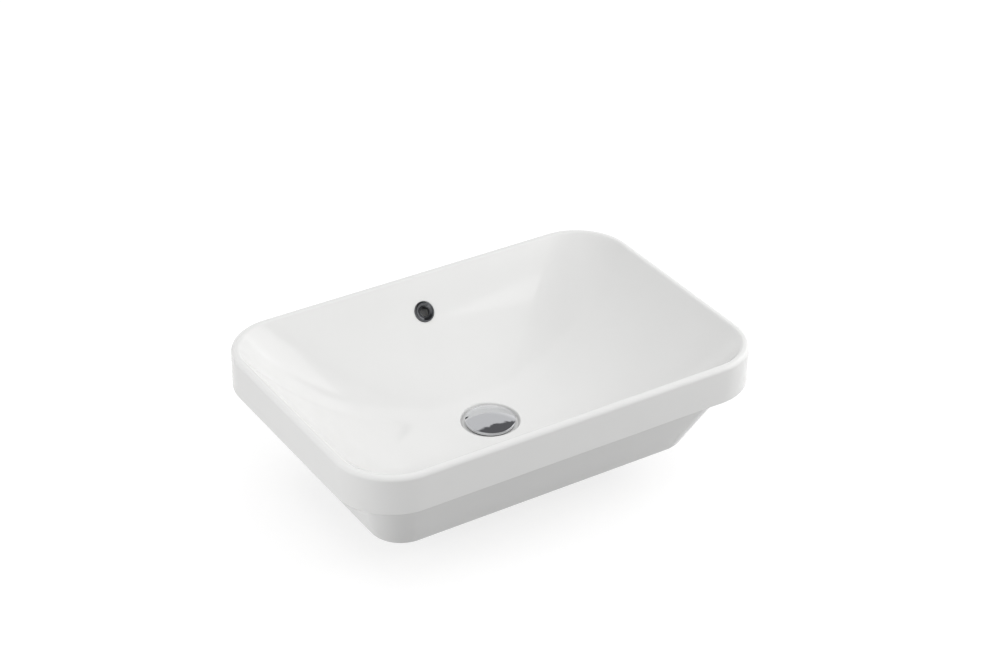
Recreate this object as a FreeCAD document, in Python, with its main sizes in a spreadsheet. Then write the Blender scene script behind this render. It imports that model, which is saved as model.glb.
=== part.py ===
import FreeCAD, Part
import math
import os
import re

import Sketcher
from FreeCAD import Placement, Rotation, Vector

# A semi recessed wash basin. The band stands on the worktop, the tapered lower body hangs in
# the cut-out, and a slotted waste with a press-to-open plug passes through both ceramic walls.
# Millimetres, +X right, +Y to the wall, +Z up. The origin is the plan centre, at worktop level.

document = FreeCAD.newDocument("SemiRecessedBasin")
sheet = document.addObject("Spreadsheet::Sheet", "Sizes")

sizes = {
    # ceramic, outside
    "rimLength": 560,
    "rimDepth": 380,
    "cornerRadius": 73,
    "bandHeight": 50,
    "rimOuterRound": 5,
    "rimInnerRound": 3.5,
    "ledgeSide": 27.5,
    "ledgeFront": 16,
    "ledgeBack": 23,
    "ledgeCorner": 48,
    "bodyHeight": 97.5,
    "taperSide": 35.8,
    "taperFront": 49.6,
    "taperBack": 14.5,
    "footCorner": 40,
    "footRound": 11,
    "footWidth": 18,
    "footRise": 4,
    # ceramic, inside
    "rimWidth": 9,
    "wall": 7,
    "rimSolid": 20,
    "bowlDrop": 111,
    "bowlPower": 2.77,
    "cornerGain": 0.55,
    "wallSpread": 0.9,
    "spreadPower": 0.8,
    "wallSink": 0.6,
    "seatDrop": 4,
    "seatRadius": 34,
    "seatTurn": 60,
    "floorSlope": 25,
    "drainBore": 45,
    "drainBoss": 37,
    "overflowDrop": 37.4,
    "overflowBore": 22,
    "chamberBore": 26,
    "chamberDepth": 4,
    # overflow ring
    "ringDiameter": 27,
    "ringThickness": 2.6,
    "ringThroat": 12.5,
    "ringBead": 2.2,
    "ringLip": 1.8,
    "ringWall": 1.4,
    "ringFit": 0.25,
    "ringSink": 0.4,
    "legBarb": 0.8,
    "legReach": 3,
    "legSlot": 5,
    # waste body
    "threadDiameter": 41.91,
    "wasteBore": 36,
    "flangeDiameter": 61,
    "flangeThickness": 2.5,
    "plugSeatDiameter": 44,
    "tailLength": 82,
    "tailChamfer": 1.5,
    "flangeEase": 0.8,
    "slotWidth": 20,
    "slotMargin": 1.5,
    "slotCorner": 2,
    "hubDrop": 42,
    "hubHeight": 6,
    "hubDiameter": 17,
    "spokeWidth": 4,
    "hubBore": 10,
    # seals and nut
    "gasketThickness": 1.5,
    "gasketInset": 0.5,
    "washerThickness": 9,
    "washerDiameter": 62,
    "washerNeck": 52,
    "slipThickness": 1.5,
    "slipDiameter": 58,
    "nutHeight": 10,
    "nutFlats": 52,
    "tubeFit": 0.3,
    "threadFit": 0.12,
    # plug
    "capDiameter": 63,
    "capRise": 5.2,
    "capEdge": 1.4,
    "capEase": 0.5,
    "capGap": 0.3,
    "capWall": 2.2,
    "capSkin": 1.6,
    "bossDiameter": 13,
    "bossOver": 2,
    "studDiameter": 8,
    "studLength": 7,
    "sealSink": 1.2,
    "sealThickness": 4,
    "sealLand": 1.5,
    "sealFit": 0.45,
    "plugTravel": 9,
    # cartridge
    "cartridgeDiameter": 14,
    "cartridgeBore": 10.6,
    "cartridgeDrop": 9,
    "guideLength": 5,
    "stemFit": 0.3,
    "glandWire": 1.5,
    "glandFit": 0.1,
    "collarDiameter": 9.8,
    "collarHeight": 3,
    "stopGap": 0.4,
    "pinDiameter": 3.6,
    "pinLength": 8,
    "camHeight": 3.2,
    "camBore": 4.4,
    "fluteWidth": 2,
    "fluteDepth": 0.8,
    "ribFit": 0.35,
    "springWire": 0.9,
    "springDiameter": 8,
    "springTurns": 5,
    "plugCollar": 3,
    "plugFlats": 14,
    "pilotLength": 3,
    "spigotOver": 1.5,
    # eases of small turned edges, the depth a rib roots in its wall, and how far a cut runs clear
    "stemEase": 0.6,
    "housingEase": 1,
    "ribRoot": 0.5,
    "cutMargin": 1,
}

# Levels and half sizes that follow from the driving sizes.
levels = {
    "rimHalfLength": "rimLength / 2",
    "rimHalfDepth": "rimDepth / 2",
    "bowlHalfLength": "rimLength / 2 - rimWidth",
    "bowlHalfDepth": "rimDepth / 2 - rimWidth",
    "bowlCorner": "cornerRadius - rimWidth",
    "bottomLevel": "0 - bodyHeight",
    "cavityFloor": "footRise - bodyHeight + wall",
    "cavityTop": "bandHeight - rimSolid",
    "seatLevel": "bandHeight - bowlDrop - seatDrop",
    "gasketTop": "bandHeight - bowlDrop - seatDrop + gasketThickness",
    "flangeTop": "bandHeight - bowlDrop - seatDrop + gasketThickness + flangeThickness",
    "tubeRadius": "threadDiameter / 2",
    "boreRadius": "wasteBore / 2",
    "plugSeatRadius": "plugSeatDiameter / 2",
    "tailLevel": "bandHeight - bowlDrop - seatDrop + gasketThickness - tailLength",
    "hubTop": "bandHeight - bowlDrop - seatDrop + gasketThickness - hubDrop",
    "flangeRadius": "flangeDiameter / 2",
    "washerTop": "footRise - bodyHeight",
    "slipTop": "footRise - bodyHeight - washerThickness",
    "nutTop": "footRise - bodyHeight - washerThickness - slipThickness",
    "capRadius": "capDiameter / 2",
    "capEdgeBottom": "flangeTop + capGap",
    "capTop": "flangeTop + capGap + capEdge + capRise",
    "capDome": "(capRadius ^ 2 + capRise ^ 2) / (2 * capRise)",
    "sealTop": "flangeTop + capGap + sealSink",
    "bossBottom": "flangeTop + capGap + sealSink - sealThickness - bossOver",
    "stemRadius": "studDiameter / 2",
    "housingTop": "flangeTop - cartridgeDrop",
    "glandLevel": "housingTop - guideLength / 2",
    "glandHalf": "glandWire / 2 + glandFit",
    "glandRadius": "stemRadius + stemFit + glandWire + glandFit",
    "collarRadius": "collarDiameter / 2",
    "collarTop": "housingTop - guideLength - plugTravel - stopGap",
    "camTop": "collarTop - collarHeight",
    "camFoot": "camTop - camHeight",
    "springFoot": "hubTop + plugCollar + pilotLength",
    "overflowShare": "(1 - overflowDrop / bowlDrop) ^ (1 / bowlPower)",
}

# Height of the bowl's contour lines: each is the rim's inner outline drawn in to a share s, and
# it lies bowlDrop * (1 - s ^ bowlPower) below the rim. The first lies above the rim, to cut free.
contourShares = [1.03, 0.96, 0.88, 0.78, 0.66, 0.52, 0.38, 0.25, 0.14]


def makeSheet():
    rows = list(sizes.items()) + [(name, "=" + rule) for name, rule in levels.items()]
    for row, (name, value) in enumerate(rows, start=1):
        sheet.set(f"A{row}", name)
        sheet.set(f"B{row}", str(value))
        sheet.setAlias(f"B{row}", name)
    document.recompute()


def bind(rule):
    """Put the sheet's name before each of its aliases in an expression."""
    known = lambda word: word.group() in sizes or word.group() in levels
    return re.sub(r"[A-Za-z]\w*", lambda word: ("Sizes." if known(word) else "") + word.group(), rule)


def worth(rule):
    """The present value of an expression."""
    found = sheet.evalExpression(bind(rule))
    return float(getattr(found, "Value", found))


def newBody(label):
    body = document.addObject("PartDesign::Body", label)
    body.Label = label
    return body


def newSketch(body, role, name, lift="0"):
    """A sketch on one of the body's own origin planes, lifted along that plane's normal."""
    plane = next(item for item in body.Origin.OriginFeatures if item.Role == role)
    sketch = body.newObject("Sketcher::SketchObject", name)
    sketch.AttachmentSupport = (plane, [""])
    sketch.MapMode = "FlatFace"
    if lift != "0":
        sketch.setExpression("AttachmentOffset.Base.z", bind(lift))
    return sketch


def fixPoint(sketch, edge, end, xRule, yRule):
    """Tie one end of an edge to the sketch's origin."""
    for kind, rule in (("DistanceX", xRule), ("DistanceY", yRule)):
        index = sketch.addConstraint(Sketcher.Constraint(kind, -1, 1, edge, end, worth(rule)))
        sketch.setExpression(f"Constraints[{index}]", bind(rule))


def arcBetween(start, finish, radius, side):
    """Arc from start to finish, centred to the left of the way for side 1, right for -1."""
    way = finish - start
    half = way.Length / 2
    left = Vector(-way.y, way.x, 0) / way.Length
    centre = start + way / 2 + left * (side * math.sqrt(max(radius ** 2 - half ** 2, 0)))
    angles = [math.atan2((point - centre).y, (point - centre).x) for point in (start, finish)]
    if side < 0:
        angles.reverse()
    circle = Part.Circle(centre, Vector(0, 0, 1), radius)
    if angles[1] < angles[0]:
        angles[1] += 2 * math.pi
    return Part.ArcOfCircle(circle, angles[0], angles[1])


def outline(sketch, corners):
    """A closed outline through corners (x, y), or (x, y, radius, side) where an arc starts."""
    points = [Vector(worth(corner[0]), worth(corner[1]), 0) for corner in corners]
    ends = []
    for index, corner in enumerate(corners):
        start, finish = points[index], points[(index + 1) % len(points)]
        if len(corner) == 2:
            edge = sketch.addGeometry(Part.LineSegment(start, finish))
            ends.append((edge, 1, 2))
        else:
            edge = sketch.addGeometry(arcBetween(start, finish, worth(corner[2]), corner[3]))
            ends.append((edge, 1, 2) if corner[3] > 0 else (edge, 2, 1))
    for index, corner in enumerate(corners):
        edge, first, last = ends[index]
        following = ends[(index + 1) % len(ends)]
        sketch.addConstraint(Sketcher.Constraint("Coincident", edge, last, following[0], following[1]))
        fixPoint(sketch, edge, first, corner[0], corner[1])
        if len(corner) > 2:
            held = sketch.addConstraint(Sketcher.Constraint("Radius", edge, worth(corner[2])))
            sketch.setExpression(f"Constraints[{held}]", bind(corner[2]))


def roundedRectangle(sketch, left, right, front, back, corner):
    """Four sides at these coordinates with four equal corner arcs."""
    lowX, highX = f"{left} + {corner}", f"{right} - ({corner})"
    lowY, highY = f"{front} + {corner}", f"{back} - ({corner})"
    outline(sketch, [
        (lowX, front),
        (highX, front, corner, 1),
        (right, lowY),
        (right, highY, corner, 1),
        (highX, back),
        (lowX, back, corner, 1),
        (left, highY),
        (left, lowY, corner, 1),
    ])


def circle(sketch, radius, x="0", y="0"):
    centre = Vector(worth(x), worth(y), 0)
    edge = sketch.addGeometry(Part.Circle(centre, Vector(0, 0, 1), worth(radius)))
    fixPoint(sketch, edge, 3, x, y)
    held = sketch.addConstraint(Sketcher.Constraint("Radius", edge, worth(radius)))
    sketch.setExpression(f"Constraints[{held}]", bind(radius))


def extrude(body, kind, sketch, name, length, reverse=False, bothWays=False):
    """Pad or Pocket by a length. A Pocket goes against its sketch's normal unless reversed."""
    feature = body.newObject("PartDesign::" + kind, name)
    feature.Profile = (sketch, [""])
    feature.setExpression("Length", bind(length))
    feature.Reversed = reverse
    feature.Midplane = bothWays
    return feature


def spin(body, kind, sketch, name):
    """Revolution or Groove, a full turn about the sketch's upright axis."""
    feature = body.newObject("PartDesign::" + kind, name)
    feature.Profile = (sketch, [""])
    feature.ReferenceAxis = (sketch, ["V_Axis"])
    feature.Angle = 360
    return feature


def spinProfile(body, kind, name, corners):
    sketch = newSketch(body, "XZ_Plane", name + "Sketch")
    outline(sketch, corners)
    return spin(body, kind, sketch, name)


def loft(body, kind, name, sections, ruled=False):
    feature = body.newObject("PartDesign::" + kind, name)
    feature.Profile = (sections[0], [""])
    feature.Sections = sections[1:]
    feature.Ruled = ruled
    return feature


def roundEdges(body, name, radius, wanted):
    """Fillet on the body's edges that the test picks out."""
    document.recompute()
    tip = body.Tip
    names = [f"Edge{n}" for n, edge in enumerate(tip.Shape.Edges, start=1) if wanted(edge)]
    feature = body.newObject("PartDesign::Fillet", name)
    feature.Base = (tip, names)
    feature.setExpression("Radius", bind(radius))
    document.recompute()
    return feature


def polar(body, name, feature, count):
    """Copies of a feature, evenly spaced about the upright axis."""
    axis = next(item for item in body.Origin.OriginFeatures if item.Role == "Z_Axis")
    pattern = body.newObject("PartDesign::PolarPattern", name)
    pattern.Originals = [feature]
    pattern.Axis = (axis, [""])
    pattern.Angle = 360
    pattern.Occurrences = count
    body.Tip = pattern
    return pattern


def edgeAt(level, halfLength, halfDepth):
    """Test for a level edge that lies on or outside a rectangle at this height."""
    def wanted(edge):
        box = edge.BoundBox
        if box.ZMax - box.ZMin > 0.01 or abs(box.ZMin - level) > 0.01:
            return False
        middle = edge.valueAt((edge.FirstParameter + edge.LastParameter) / 2)
        return abs(middle.x) > halfLength or abs(middle.y) > halfDepth
    return wanted


# ---- basin_body: hollow casting, its bowl and its outer body joined at the rim and the drain ----

def bodySection(body, name, drop, inset="0"):
    """The lower body's outline at a depth under the ledge, drawn in by an inset."""
    share = f"({drop}) / bodyHeight"
    sketch = newSketch(body, "XY_Plane", name, f"0 - ({drop})")
    side = f"rimHalfLength - ledgeSide - taperSide * {share} - ({inset})"
    front = f"rimHalfDepth - ledgeFront - taperFront * {share} - ({inset})"
    back = f"rimHalfDepth - ledgeBack - taperBack * {share} - ({inset})"
    corner = f"ledgeCorner + (footCorner - ledgeCorner) * {share} - ({inset})"
    roundedRectangle(sketch, f"0 - ({side})", side, f"0 - ({front})", back, f"({corner})")
    return sketch


def bowlSection(body, name, share, grow):
    """One contour line of the bowl, or of the back of its wall, where grow is the wall."""
    spread = f"{grow} * wallSpread * {share} ^ spreadPower"
    sink = f"{grow} * (1 - wallSink * {share} ^ 2)"
    level = f"bandHeight - bowlDrop * (1 - {share} ^ bowlPower) - {sink}"
    corner = f"(bowlCorner * {share} * (1 + cornerGain * (1 - {share})) + {spread})"
    sketch = newSketch(body, "XY_Plane", name, level)
    halfX = f"bowlHalfLength * {share} + {spread}"
    halfY = f"bowlHalfDepth * {share} + {spread}"
    roundedRectangle(sketch, f"0 - ({halfX})", halfX, f"0 - ({halfY})", halfY, corner)
    return sketch


def bowlSections(body, name, grow):
    return [bowlSection(body, f"{name}{n}", share, grow) for n, share in enumerate(contourShares)]


overflowY = "bowlHalfDepth * overflowShare"
overflowZ = "bandHeight - overflowDrop"
overflowRise = "(bowlDrop * bowlPower * overflowShare ^ (bowlPower - 1))"
overflowLean = f"atan(bowlHalfDepth / {overflowRise})"
overflowTilt = f"atan({overflowRise} / bowlHalfDepth)"


def overflowSketch(body, name, reach):
    """A sketch square to the bowl's back wall at the overflow, lifted off it by a reach."""
    sketch = newSketch(body, "XZ_Plane", name)
    across = f"({overflowY} - ({reach}) * cos({overflowLean}))"
    height = f"({overflowZ} + ({reach}) * sin({overflowLean}))"
    sketch.AttachmentOffset = Placement(Vector(0, 0, 0), Rotation(Vector(-1, 0, 0), worth(overflowLean)))
    sketch.setExpression("AttachmentOffset.Rotation.Angle", bind(overflowLean))
    sketch.setExpression("AttachmentOffset.Base.y", bind(height))
    sketch.setExpression("AttachmentOffset.Base.z", bind("0 - " + across))
    return sketch


def makeShell():
    """The casting before its hollow: band, lower body, bowl, drain seat and holes."""
    body = newBody("basin_shell")
    band = newSketch(body, "XY_Plane", "BandOutline")
    roundedRectangle(band, "0 - rimHalfLength", "rimHalfLength", "0 - rimHalfDepth", "rimHalfDepth",
                     "cornerRadius")
    extrude(body, "Pad", band, "Band", "bandHeight")
    loft(body, "AdditiveLoft", "LowerBody",
         [bodySection(body, "LedgeOutline", "0"), bodySection(body, "FootOutline", "bodyHeight")], True)
    roundEdges(body, "FootRound", "footRound", edgeAt(worth("bottomLevel"), 0, 0))
    roundEdges(body, "RimOuterRound", "rimOuterRound", edgeAt(worth("bandHeight"), 0, 0))
    loft(body, "SubtractiveLoft", "Bowl", bowlSections(body, "BowlContour", "0"))
    roundEdges(body, "RimInnerRound", "rimInnerRound", edgeAt(worth("bandHeight"), 0, 0))
    makeDrain(body)
    makeOverflowHole(body)
    extrude(body, "Pocket", footRecess(body), "FootRecess", "footRise", reverse=True)
    return body


def footRecess(body):
    """The recess inside the foot ring that the basin stands on before it is fitted."""
    sketch = newSketch(body, "XY_Plane", "FootRecessOutline", "bottomLevel")
    side = "(rimHalfLength - ledgeSide - taperSide - footWidth)"
    front = "(rimHalfDepth - ledgeFront - taperFront - footWidth)"
    back = "(rimHalfDepth - ledgeBack - taperBack - footWidth)"
    roundedRectangle(sketch, "0 - " + side, side, "0 - " + front, back, "(footCorner - footWidth / 2)")
    return sketch


def makeDrain(body):
    """Round seat with a soft edge that runs out into the bowl's floor, and the bore below it."""
    lipRadius = "(seatRadius + seatDrop * (3 * sin(seatTurn) - 2 * sin(floorSlope)))"
    lipLevel = "(seatLevel + seatDrop * (1 - 3 * cos(seatTurn) + 2 * cos(floorSlope)))"
    spinProfile(body, "Groove", "DrainSeat", [
        ("0", "seatLevel"),
        ("seatRadius", "seatLevel", "seatDrop", 1),
        ("seatRadius + seatDrop * sin(seatTurn)", "seatLevel + seatDrop * (1 - cos(seatTurn))",
         "2 * seatDrop", -1),
        (lipRadius, lipLevel),
        (lipRadius + " + seatDrop", lipLevel + " + seatDrop * tan(floorSlope)"),
        ("0", "seatLevel + seatDrop * 3"),
    ])
    bore = newSketch(body, "XY_Plane", "DrainBoreOutline", "seatLevel + cutMargin")
    circle(bore, "drainBore / 2")
    extrude(body, "Pocket", bore, "DrainBore", "bodyHeight")


def makeOverflowHole(body):
    """Flat seat for the ring on the bowl's back wall, and the hole through to the hollow."""
    seat = overflowSketch(body, "OverflowSeatOutline", "ringThickness")
    circle(seat, "ringDiameter / 2 + ringFit")
    extrude(body, "Pocket", seat, "OverflowSeat", "ringThickness + ringSink")
    hole = overflowSketch(body, "OverflowHoleOutline", "ringThickness")
    circle(hole, "overflowBore / 2")
    extrude(body, "Pocket", hole, "OverflowHole", "ringThickness + wall + chamberDepth / 2")


def makeCore():
    """The hollow between the bowl and the outer body, which carries overflow water to the drain."""
    body = newBody("basin_core")
    inner = newSketch(body, "XY_Plane", "CoreBandOutline", "wall")
    side = "rimHalfLength - wall"
    front = "rimHalfDepth - wall"
    roundedRectangle(inner, f"0 - ({side})", side, f"0 - ({front})", front, "(cornerRadius - wall)")
    extrude(body, "Pad", inner, "CoreBand", "cavityTop - wall")
    loft(body, "AdditiveLoft", "CoreBody",
         [bodySection(body, "CoreTop", "0 - wall * 2", "wall"),
          bodySection(body, "CoreFloor", "0 - cavityFloor", "wall")], True)
    loft(body, "SubtractiveLoft", "BowlBack", bowlSections(body, "BackContour", "wall"), True)
    boss = newSketch(body, "XY_Plane", "DrainBossOutline", "seatLevel - wall")
    circle(boss, "drainBoss")
    extrude(body, "Pocket", boss, "DrainBoss", "bowlDrop", reverse=True)
    chamber = overflowSketch(body, "ChamberOutline", "0 - wall")
    circle(chamber, "chamberBore / 2")
    extrude(body, "Pad", chamber, "OverflowChamber", "chamberDepth", reverse=True)
    return body


def makeBasin():
    basin = document.addObject("Part::Cut", "basin_body")
    basin.Base = makeShell()
    basin.Tool = makeCore()
    basin.Refine = True
    return basin


# ---- overflow_ring: snap-in trim, modelled upright on its seat and then tilted to the wall ----

def makeOverflowRing():
    body = newBody("overflow_ring")
    sleeve = "overflowBore / 2 - ringFit"
    hold = "ringSink - wall - ringFit"
    tip = "ringSink - wall - legReach"
    spinProfile(body, "Revolution", "Ring", [
        ("ringThroat / 2", "ringLip"),
        ("ringThroat / 2 + ringWall / 2", "ringLip"),
        ("ringThroat / 2 + ringWall", "ringLip / 2"),
        ("ringDiameter / 2 - ringBead", "ringThickness", "ringBead", -1),
        ("ringDiameter / 2", "ringThickness - ringBead"),
        ("ringDiameter / 2", "0"),
        (sleeve, "0"),
        (sleeve, hold),
        (sleeve + " + legBarb", hold),
        (sleeve, tip),
        (sleeve + " - ringWall", tip),
        (sleeve + " - ringWall", "0 - ringWall / 2"),
        ("ringThroat / 2", "0 - ringWall / 2"),
    ])
    slot = newSketch(body, "XY_Plane", "LegSlotOutline", "0 - ringWall")
    outline(slot, [
        ("ringThroat / 2", "0 - legSlot / 2"),
        ("overflowBore", "0 - legSlot / 2"),
        ("overflowBore", "legSlot / 2"),
        ("ringThroat / 2", "legSlot / 2"),
    ])
    polar(body, "LegSlots", extrude(body, "Pocket", slot, "LegSlot", "wall + legReach"), 4)
    return body


def placeOverflowRing(body):
    body.Placement = Placement(Vector(0, 0, 0), Rotation(Vector(1, 0, 0), worth(overflowTilt)))
    body.setExpression("Placement.Rotation.Angle", bind(overflowTilt))
    body.setExpression("Placement.Base.y", bind(f"{overflowY} + ringSink * cos({overflowLean})"))
    body.setExpression("Placement.Base.z", bind(f"{overflowZ} - ringSink * sin({overflowLean})"))


# ---- waste: flanged tube, its seals and its backnut ----

def makeWasteBody():
    body = newBody("waste_body")
    spinProfile(body, "Revolution", "Tube", [
        ("plugSeatRadius", "flangeTop"),
        ("boreRadius", "flangeTop - (plugSeatRadius - boreRadius)"),
        ("boreRadius", "tailLevel"),
        ("tubeRadius - tailChamfer", "tailLevel"),
        ("tubeRadius", "tailLevel + tailChamfer"),
        ("tubeRadius", "gasketTop"),
        ("flangeRadius", "gasketTop"),
        ("flangeRadius", "flangeTop - flangeEase", "flangeEase", 1),
        ("flangeRadius - flangeEase", "flangeTop"),
    ])
    slot = newSketch(body, "XZ_Plane", "OverflowSlotOutline")
    roundedRectangle(slot, "0 - slotWidth / 2", "slotWidth / 2", "cavityFloor + slotMargin",
                     "seatLevel - wall - slotMargin", "slotCorner")
    extrude(body, "Pocket", slot, "OverflowSlots", "threadDiameter + 2 * cutMargin", bothWays=True)
    hub = newSketch(body, "XY_Plane", "HubOutline", "hubTop")
    circle(hub, "hubDiameter / 2")
    extrude(body, "Pad", hub, "Hub", "hubHeight", reverse=True)
    reach = "(boreRadius + (tubeRadius - boreRadius) / 2)"
    spoke = newSketch(body, "XY_Plane", "SpokeOutline", "hubTop")
    outline(spoke, [
        ("hubBore / 2 + cutMargin", "0 - spokeWidth / 2"),
        (reach, "0 - spokeWidth / 2"),
        (reach, "spokeWidth / 2"),
        ("hubBore / 2 + cutMargin", "spokeWidth / 2"),
    ])
    polar(body, "Spokes", extrude(body, "Pad", spoke, "Spoke", "hubHeight", reverse=True), 3)
    bore = newSketch(body, "XY_Plane", "HubBoreOutline", "hubTop + cutMargin")
    circle(bore, "hubBore / 2")
    extrude(body, "Pocket", bore, "HubBore", "hubHeight + 2 * cutMargin")
    return body


def makeRing(label, inner, outer, bottom, top):
    """A flat ring with a square section."""
    body = newBody(label)
    spinProfile(body, "Revolution", "Ring", [(inner, bottom), (outer, bottom), (outer, top), (inner, top)])
    return body


def makeTaperWasher():
    body = newBody("taper_washer")
    inner = "tubeRadius + tubeFit"
    spinProfile(body, "Revolution", "Washer", [
        (inner, "washerTop"),
        (inner, "slipTop"),
        ("washerNeck / 2", "slipTop"),
        ("washerDiameter / 2", "washerTop - washerThickness / 3"),
        ("washerDiameter / 2", "washerTop"),
    ])
    return body


def hexagon(sketch, flats):
    corner = f"{flats} / 2 / cos(30)"
    outline(sketch, [(f"{corner} * cos({turn})", f"{corner} * sin({turn})") for turn in range(0, 360, 60)])


def makeBacknut():
    body = newBody("backnut")
    hexSketch = newSketch(body, "XY_Plane", "HexOutline", "nutTop")
    hexagon(hexSketch, "nutFlats")
    extrude(body, "Pad", hexSketch, "Hex", "nutHeight", reverse=True)
    bore = newSketch(body, "XY_Plane", "BoreOutline", "nutTop + cutMargin")
    circle(bore, "tubeRadius + threadFit")
    extrude(body, "Pocket", bore, "Bore", "nutHeight + 2 * cutMargin")
    wide = "nutFlats / 2 / cos(30)"
    for name, face, way in (("TopBevel", "nutTop", "-"), ("FootBevel", "nutTop - nutHeight", "+")):
        spinProfile(body, "Groove", name, [
            ("nutFlats / 2", face),
            (f"{wide} + cutMargin", face),
            (f"{wide} + cutMargin", f"{face} {way} ({wide} + cutMargin - nutFlats / 2) * tan(30)"),
        ])
    return body


# ---- plug: domed cap, its seal, the plunger and the index cam, which rise together ----

def skinAt(radius):
    """Height of the dome's underside at a radius."""
    return f"capTop - capDome + sqrt((capDome - capSkin) ^ 2 - ({radius}) ^ 2)"


def makeCap():
    body = newBody("pop_up_cap")
    spinProfile(body, "Revolution", "Cap", [
        ("0", "capTop", "capDome", -1),
        ("capRadius", "capEdgeBottom + capEdge"),
        ("capRadius", "capEdgeBottom + capEase", "capEase", -1),
        ("capRadius - capEase", "capEdgeBottom"),
        ("capRadius - capWall", "capEdgeBottom"),
        ("capRadius - capWall", skinAt("capRadius - capWall"), "capDome - capSkin", 1),
        ("plugSeatRadius + sealLand", skinAt("plugSeatRadius + sealLand")),
        ("plugSeatRadius + sealLand", "sealTop"),
        ("bossDiameter / 2", "sealTop"),
        ("bossDiameter / 2", "bossBottom"),
        ("stemRadius + threadFit", "bossBottom"),
        ("stemRadius + threadFit", "bossBottom + studLength"),
        ("0", "bossBottom + studLength"),
    ])
    return body


def makeCapSeal():
    body = newBody("cap_seal")
    inner = "bossDiameter / 2 + threadFit"
    outer = "plugSeatRadius - sealFit"
    bevel = "(sealThickness - sealTop + flangeTop)"
    spinProfile(body, "Revolution", "Seal", [
        (inner, "sealTop"),
        (inner, "sealTop - sealThickness"),
        (f"{outer} - {bevel}", "sealTop - sealThickness"),
        (outer, "flangeTop"),
        (outer, "sealTop"),
    ])
    return body


def makePlunger():
    body = newBody("plunger")
    spinProfile(body, "Revolution", "Stem", [
        ("0", "bossBottom + studLength - threadFit"),
        ("stemRadius - stemEase", "bossBottom + studLength - threadFit"),
        ("stemRadius", "bossBottom + studLength - threadFit - stemEase"),
        ("stemRadius", "collarTop"),
        ("collarRadius", "collarTop"),
        ("collarRadius", "camTop"),
        ("pinDiameter / 2", "camTop"),
        ("pinDiameter / 2", "camTop - pinLength"),
        ("0", "camTop - pinLength"),
    ])
    cutFlutes(body, "collarTop + cutMargin", "collarHeight + 2 * cutMargin")
    return body


def makeIndexCam():
    body = newBody("index_cam")
    spinProfile(body, "Revolution", "Cam", [
        ("camBore / 2", "camTop"),
        ("collarRadius", "camTop"),
        ("collarRadius", "camFoot"),
        ("camBore / 2", "camFoot"),
    ])
    cutFlutes(body, "camTop + cutMargin", "camHeight + 2 * cutMargin")
    return body


def cutFlutes(body, level, length):
    """Four flutes down the rim, which run on the housing's ribs."""
    flute = newSketch(body, "XY_Plane", "FluteOutline", level)
    outline(flute, [
        ("collarRadius - fluteDepth", "0 - fluteWidth / 2"),
        ("collarRadius + cutMargin", "0 - fluteWidth / 2"),
        ("collarRadius + cutMargin", "fluteWidth / 2"),
        ("collarRadius - fluteDepth", "fluteWidth / 2"),
    ])
    polar(body, "Flutes", extrude(body, "Pocket", flute, "Flute", length), 4)


# ---- cartridge: fixed housing in the waste's hub, with its gland ring, end plug and spring ----

def makeHousing():
    body = newBody("cartridge_housing")
    spinProfile(body, "Revolution", "Housing", [
        ("stemRadius + stemFit", "housingTop"),
        ("stemRadius + stemFit", "glandLevel + glandHalf"),
        ("glandRadius", "glandLevel + glandHalf"),
        ("glandRadius", "glandLevel - glandHalf"),
        ("stemRadius + stemFit", "glandLevel - glandHalf"),
        ("stemRadius + stemFit", "housingTop - guideLength"),
        ("cartridgeBore / 2", "housingTop - guideLength"),
        ("cartridgeBore / 2", "hubTop + plugCollar"),
        ("cartridgeDiameter / 2", "hubTop + plugCollar"),
        ("cartridgeDiameter / 2", "housingTop - housingEase"),
        ("cartridgeDiameter / 2 - housingEase", "housingTop"),
    ])
    rib = newSketch(body, "XY_Plane", "RibOutline", "housingTop - guideLength + ribRoot")
    outline(rib, [
        ("collarRadius - fluteDepth + ribFit", "0 - fluteWidth / 2 + ribFit"),
        ("cartridgeBore / 2 + ribRoot", "0 - fluteWidth / 2 + ribFit"),
        ("cartridgeBore / 2 + ribRoot", "fluteWidth / 2 - ribFit"),
        ("collarRadius - fluteDepth + ribFit", "fluteWidth / 2 - ribFit"),
    ])
    length = "plugTravel + stopGap + collarHeight + ribRoot"
    polar(body, "Ribs", extrude(body, "Pad", rib, "Rib", length, reverse=True), 4)
    return body


def makeGlandRing():
    body = newBody("plunger_oring")
    sketch = newSketch(body, "XZ_Plane", "WireOutline")
    circle(sketch, "glandWire / 2", "glandRadius - glandFit - glandWire / 2", "glandLevel")
    spin(body, "Revolution", sketch, "Ring")
    return body


def makeCartridgePlug():
    body = newBody("cartridge_plug")
    spinProfile(body, "Revolution", "Spigot", [
        ("0", "hubTop + plugCollar + pilotLength"),
        ("cartridgeBore / 2 - threadFit", "hubTop + plugCollar + pilotLength"),
        ("cartridgeBore / 2 - threadFit", "hubTop + plugCollar / 2"),
        ("hubBore / 2 - threadFit", "hubTop + plugCollar / 2"),
        ("hubBore / 2 - threadFit", "hubTop - hubHeight - spigotOver + housingEase"),
        ("hubBore / 2 - threadFit - housingEase", "hubTop - hubHeight - spigotOver"),
        ("0", "hubTop - hubHeight - spigotOver"),
    ])
    collar = newSketch(body, "XY_Plane", "CollarOutline", "hubTop")
    hexagon(collar, "plugFlats")
    extrude(body, "Pad", collar, "Collar", "plugCollar")
    return body


def halfArc(start, along, finish):
    """Circular arc that leaves start along a direction and ends at finish."""
    chord = finish - start
    forward = Vector(chord).normalize()
    aside = along - forward * along.dot(forward)
    rise = chord.Length / 2 * math.tan(along.getAngle(forward) / 2)
    return Part.Arc(start, start + chord / 2 + aside.normalize() * rise, finish)


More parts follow.
